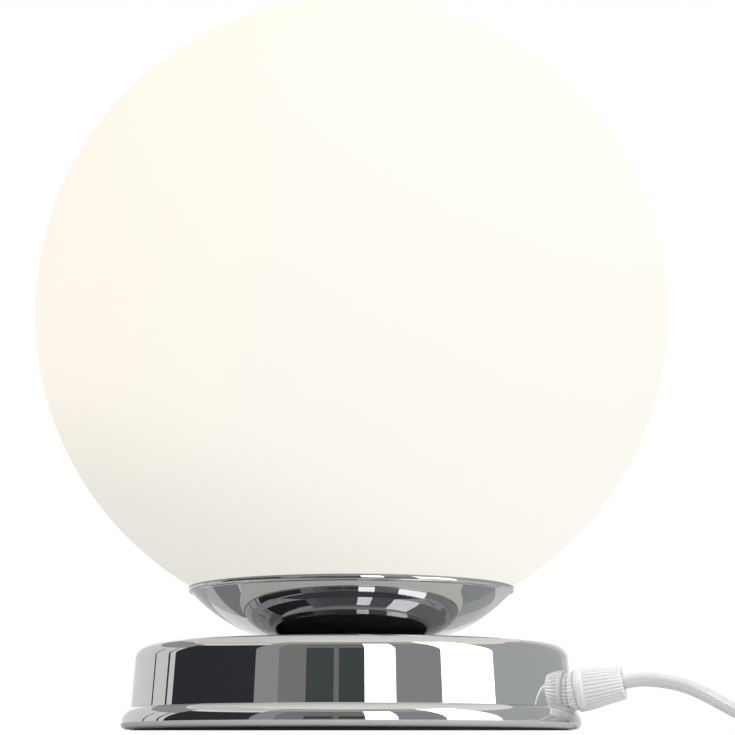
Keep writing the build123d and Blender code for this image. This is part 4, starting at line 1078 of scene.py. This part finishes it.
def add_table(stage):
    """A slab whose sides and underside the camera sees as plain white."""
    bm = bmesh.new()
    bmesh.ops.create_cube(bm, size=1.0)
    slab = mm(stage.table_width, stage.table_depth, stage.table_thickness)
    place = mm(0.0, stage.table_depth / 2 - stage.table_front, -stage.table_thickness / 2)
    bmesh.ops.scale(bm, vec=slab, verts=bm.verts[:])
    bmesh.ops.translate(bm, vec=place, verts=bm.verts[:])
    for face in bm.faces:
        face.material_index = 0 if face.normal.z > 0.5 else 1
    table = new_object("table", bm)
    edge = plain_material("table_edge", stage.edge_colour, white_for_camera=True)
    table.data.materials.append(plain_material("table_top", stage.table_colour))
    table.data.materials.append(edge)


def white_room(ambient_strength):
    """A white world, full white to the camera, mirrors and clear pieces, and softer as a light."""
    world = bpy.data.worlds.new("white_room")
    world.use_nodes = True
    nodes, links = world.node_tree.nodes, world.node_tree.links
    rays = nodes.new("ShaderNodeLightPath")
    ambient = nodes["Background"]
    white = nodes.new("ShaderNodeBackground")
    for background, brightness in ((ambient, ambient_strength), (white, 1.0)):
        background.inputs["Color"].default_value = (*WHITE, 1.0)
        background.inputs["Strength"].default_value = brightness
    seen = rays.outputs["Is Camera Ray"]
    for kind in ("Is Glossy Ray", "Is Transmission Ray"):
        either = nodes.new("ShaderNodeMath")
        either.operation = "MAXIMUM"
        links.new(seen, either.inputs[0])
        links.new(rays.outputs[kind], either.inputs[1])
        seen = either.outputs["Value"]
    mix = nodes.new("ShaderNodeMixShader")
    links.new(seen, mix.inputs["Fac"])
    links.new(ambient.outputs["Background"], mix.inputs[1])
    links.new(white.outputs["Background"], mix.inputs[2])
    links.new(mix.outputs["Shader"], nodes["World Output"].inputs["Surface"])
    return world


def add_key_light(stage):
    """A large soft light, high up in front on the right, which mirrors don't show."""
    light = bpy.data.lights.new("soft_key", "AREA")
    light.size = stage.key_size * MM
    light.energy = stage.key_power
    key = bpy.data.objects.new("soft_key", light)
    key.location = mm(*stage.key_place)
    aim = mm(0.0, 0.0, stage.key_aim)
    key.rotation_euler = (aim - key.location).to_track_quat("-Z", "Y").to_euler()
    key.visible_glossy = False
    bpy.context.scene.collection.objects.link(key)


def add_camera(view):
    """The camera, which looks up a little from just below the table's top."""
    data = bpy.data.cameras.new("camera")
    data.lens = view.lens
    data.sensor_width = view.sensor
    data.clip_start = view.near * MM
    camera = bpy.data.objects.new("camera", data)
    camera.location = mm(view.aside, -view.distance, view.eye_height)
    camera.rotation_euler = (pi / 2 + view.pitch, 0.0, 0.0)
    bpy.context.scene.collection.objects.link(camera)
    return camera


class LAMP_OT_stage(bpy.types.Operator):
    """The white table, the light and the camera"""

    bl_idname = "lamp.stage"
    bl_label = "Stage"

    def execute(self, context):
        scene = context.scene
        add_table(scene.lamp_stage)
        scene.world = white_room(scene.lamp_stage.ambient)
        add_key_light(scene.lamp_stage)
        scene.camera = add_camera(scene.lamp_view)
        scene.view_settings.view_transform = "Standard"
        return {"FINISHED"}


class LAMP_PT_pieces(bpy.types.Panel):
    """Lists what the lamp is made of"""

    bl_idname = "LAMP_PT_pieces"
    bl_label = "Glass globe lamp"
    bl_space_type = "VIEW_3D"
    bl_region_type = "UI"
    bl_category = "Lamp"

    def draw(self, context):
        for operator in OPERATORS:
            self.layout.operator(operator.bl_idname)


OPERATORS = [
    LAMP_OT_finishes,
    LAMP_OT_grip,
    LAMP_OT_tie,
    LAMP_OT_mouldings,
    LAMP_OT_cords,
    LAMP_OT_globe,
    LAMP_OT_bowl,
    LAMP_OT_base,
    LAMP_OT_stage,
    LAMP_OT_studio,
]


def register():
    for group in GROUPS.values():
        bpy.utils.register_class(group)
    for name, group in GROUPS.items():
        setattr(bpy.types.Scene, name, bpy.props.PointerProperty(type=group))
    for operator in OPERATORS:
        bpy.utils.register_class(operator)
    bpy.utils.register_class(LAMP_PT_pieces)


def unregister():
    bpy.utils.unregister_class(LAMP_PT_pieces)
    for operator in reversed(OPERATORS):
        bpy.utils.unregister_class(operator)
    for name in GROUPS:
        delattr(bpy.types.Scene, name)
    for group in GROUPS.values():
        bpy.utils.unregister_class(group)


def main():
    """Builds the lamp's looks and its stage."""
    register()
    bpy.ops.lamp.finishes()
    bpy.ops.lamp.grip()
    bpy.ops.lamp.tie()
    bpy.ops.lamp.mouldings()
    bpy.ops.lamp.cords()
    bpy.ops.lamp.globe()
    bpy.ops.lamp.bowl()
    bpy.ops.lamp.base()
    bpy.ops.lamp.stage()
    bpy.ops.lamp.studio()


if __name__ == "__main__":
    main()
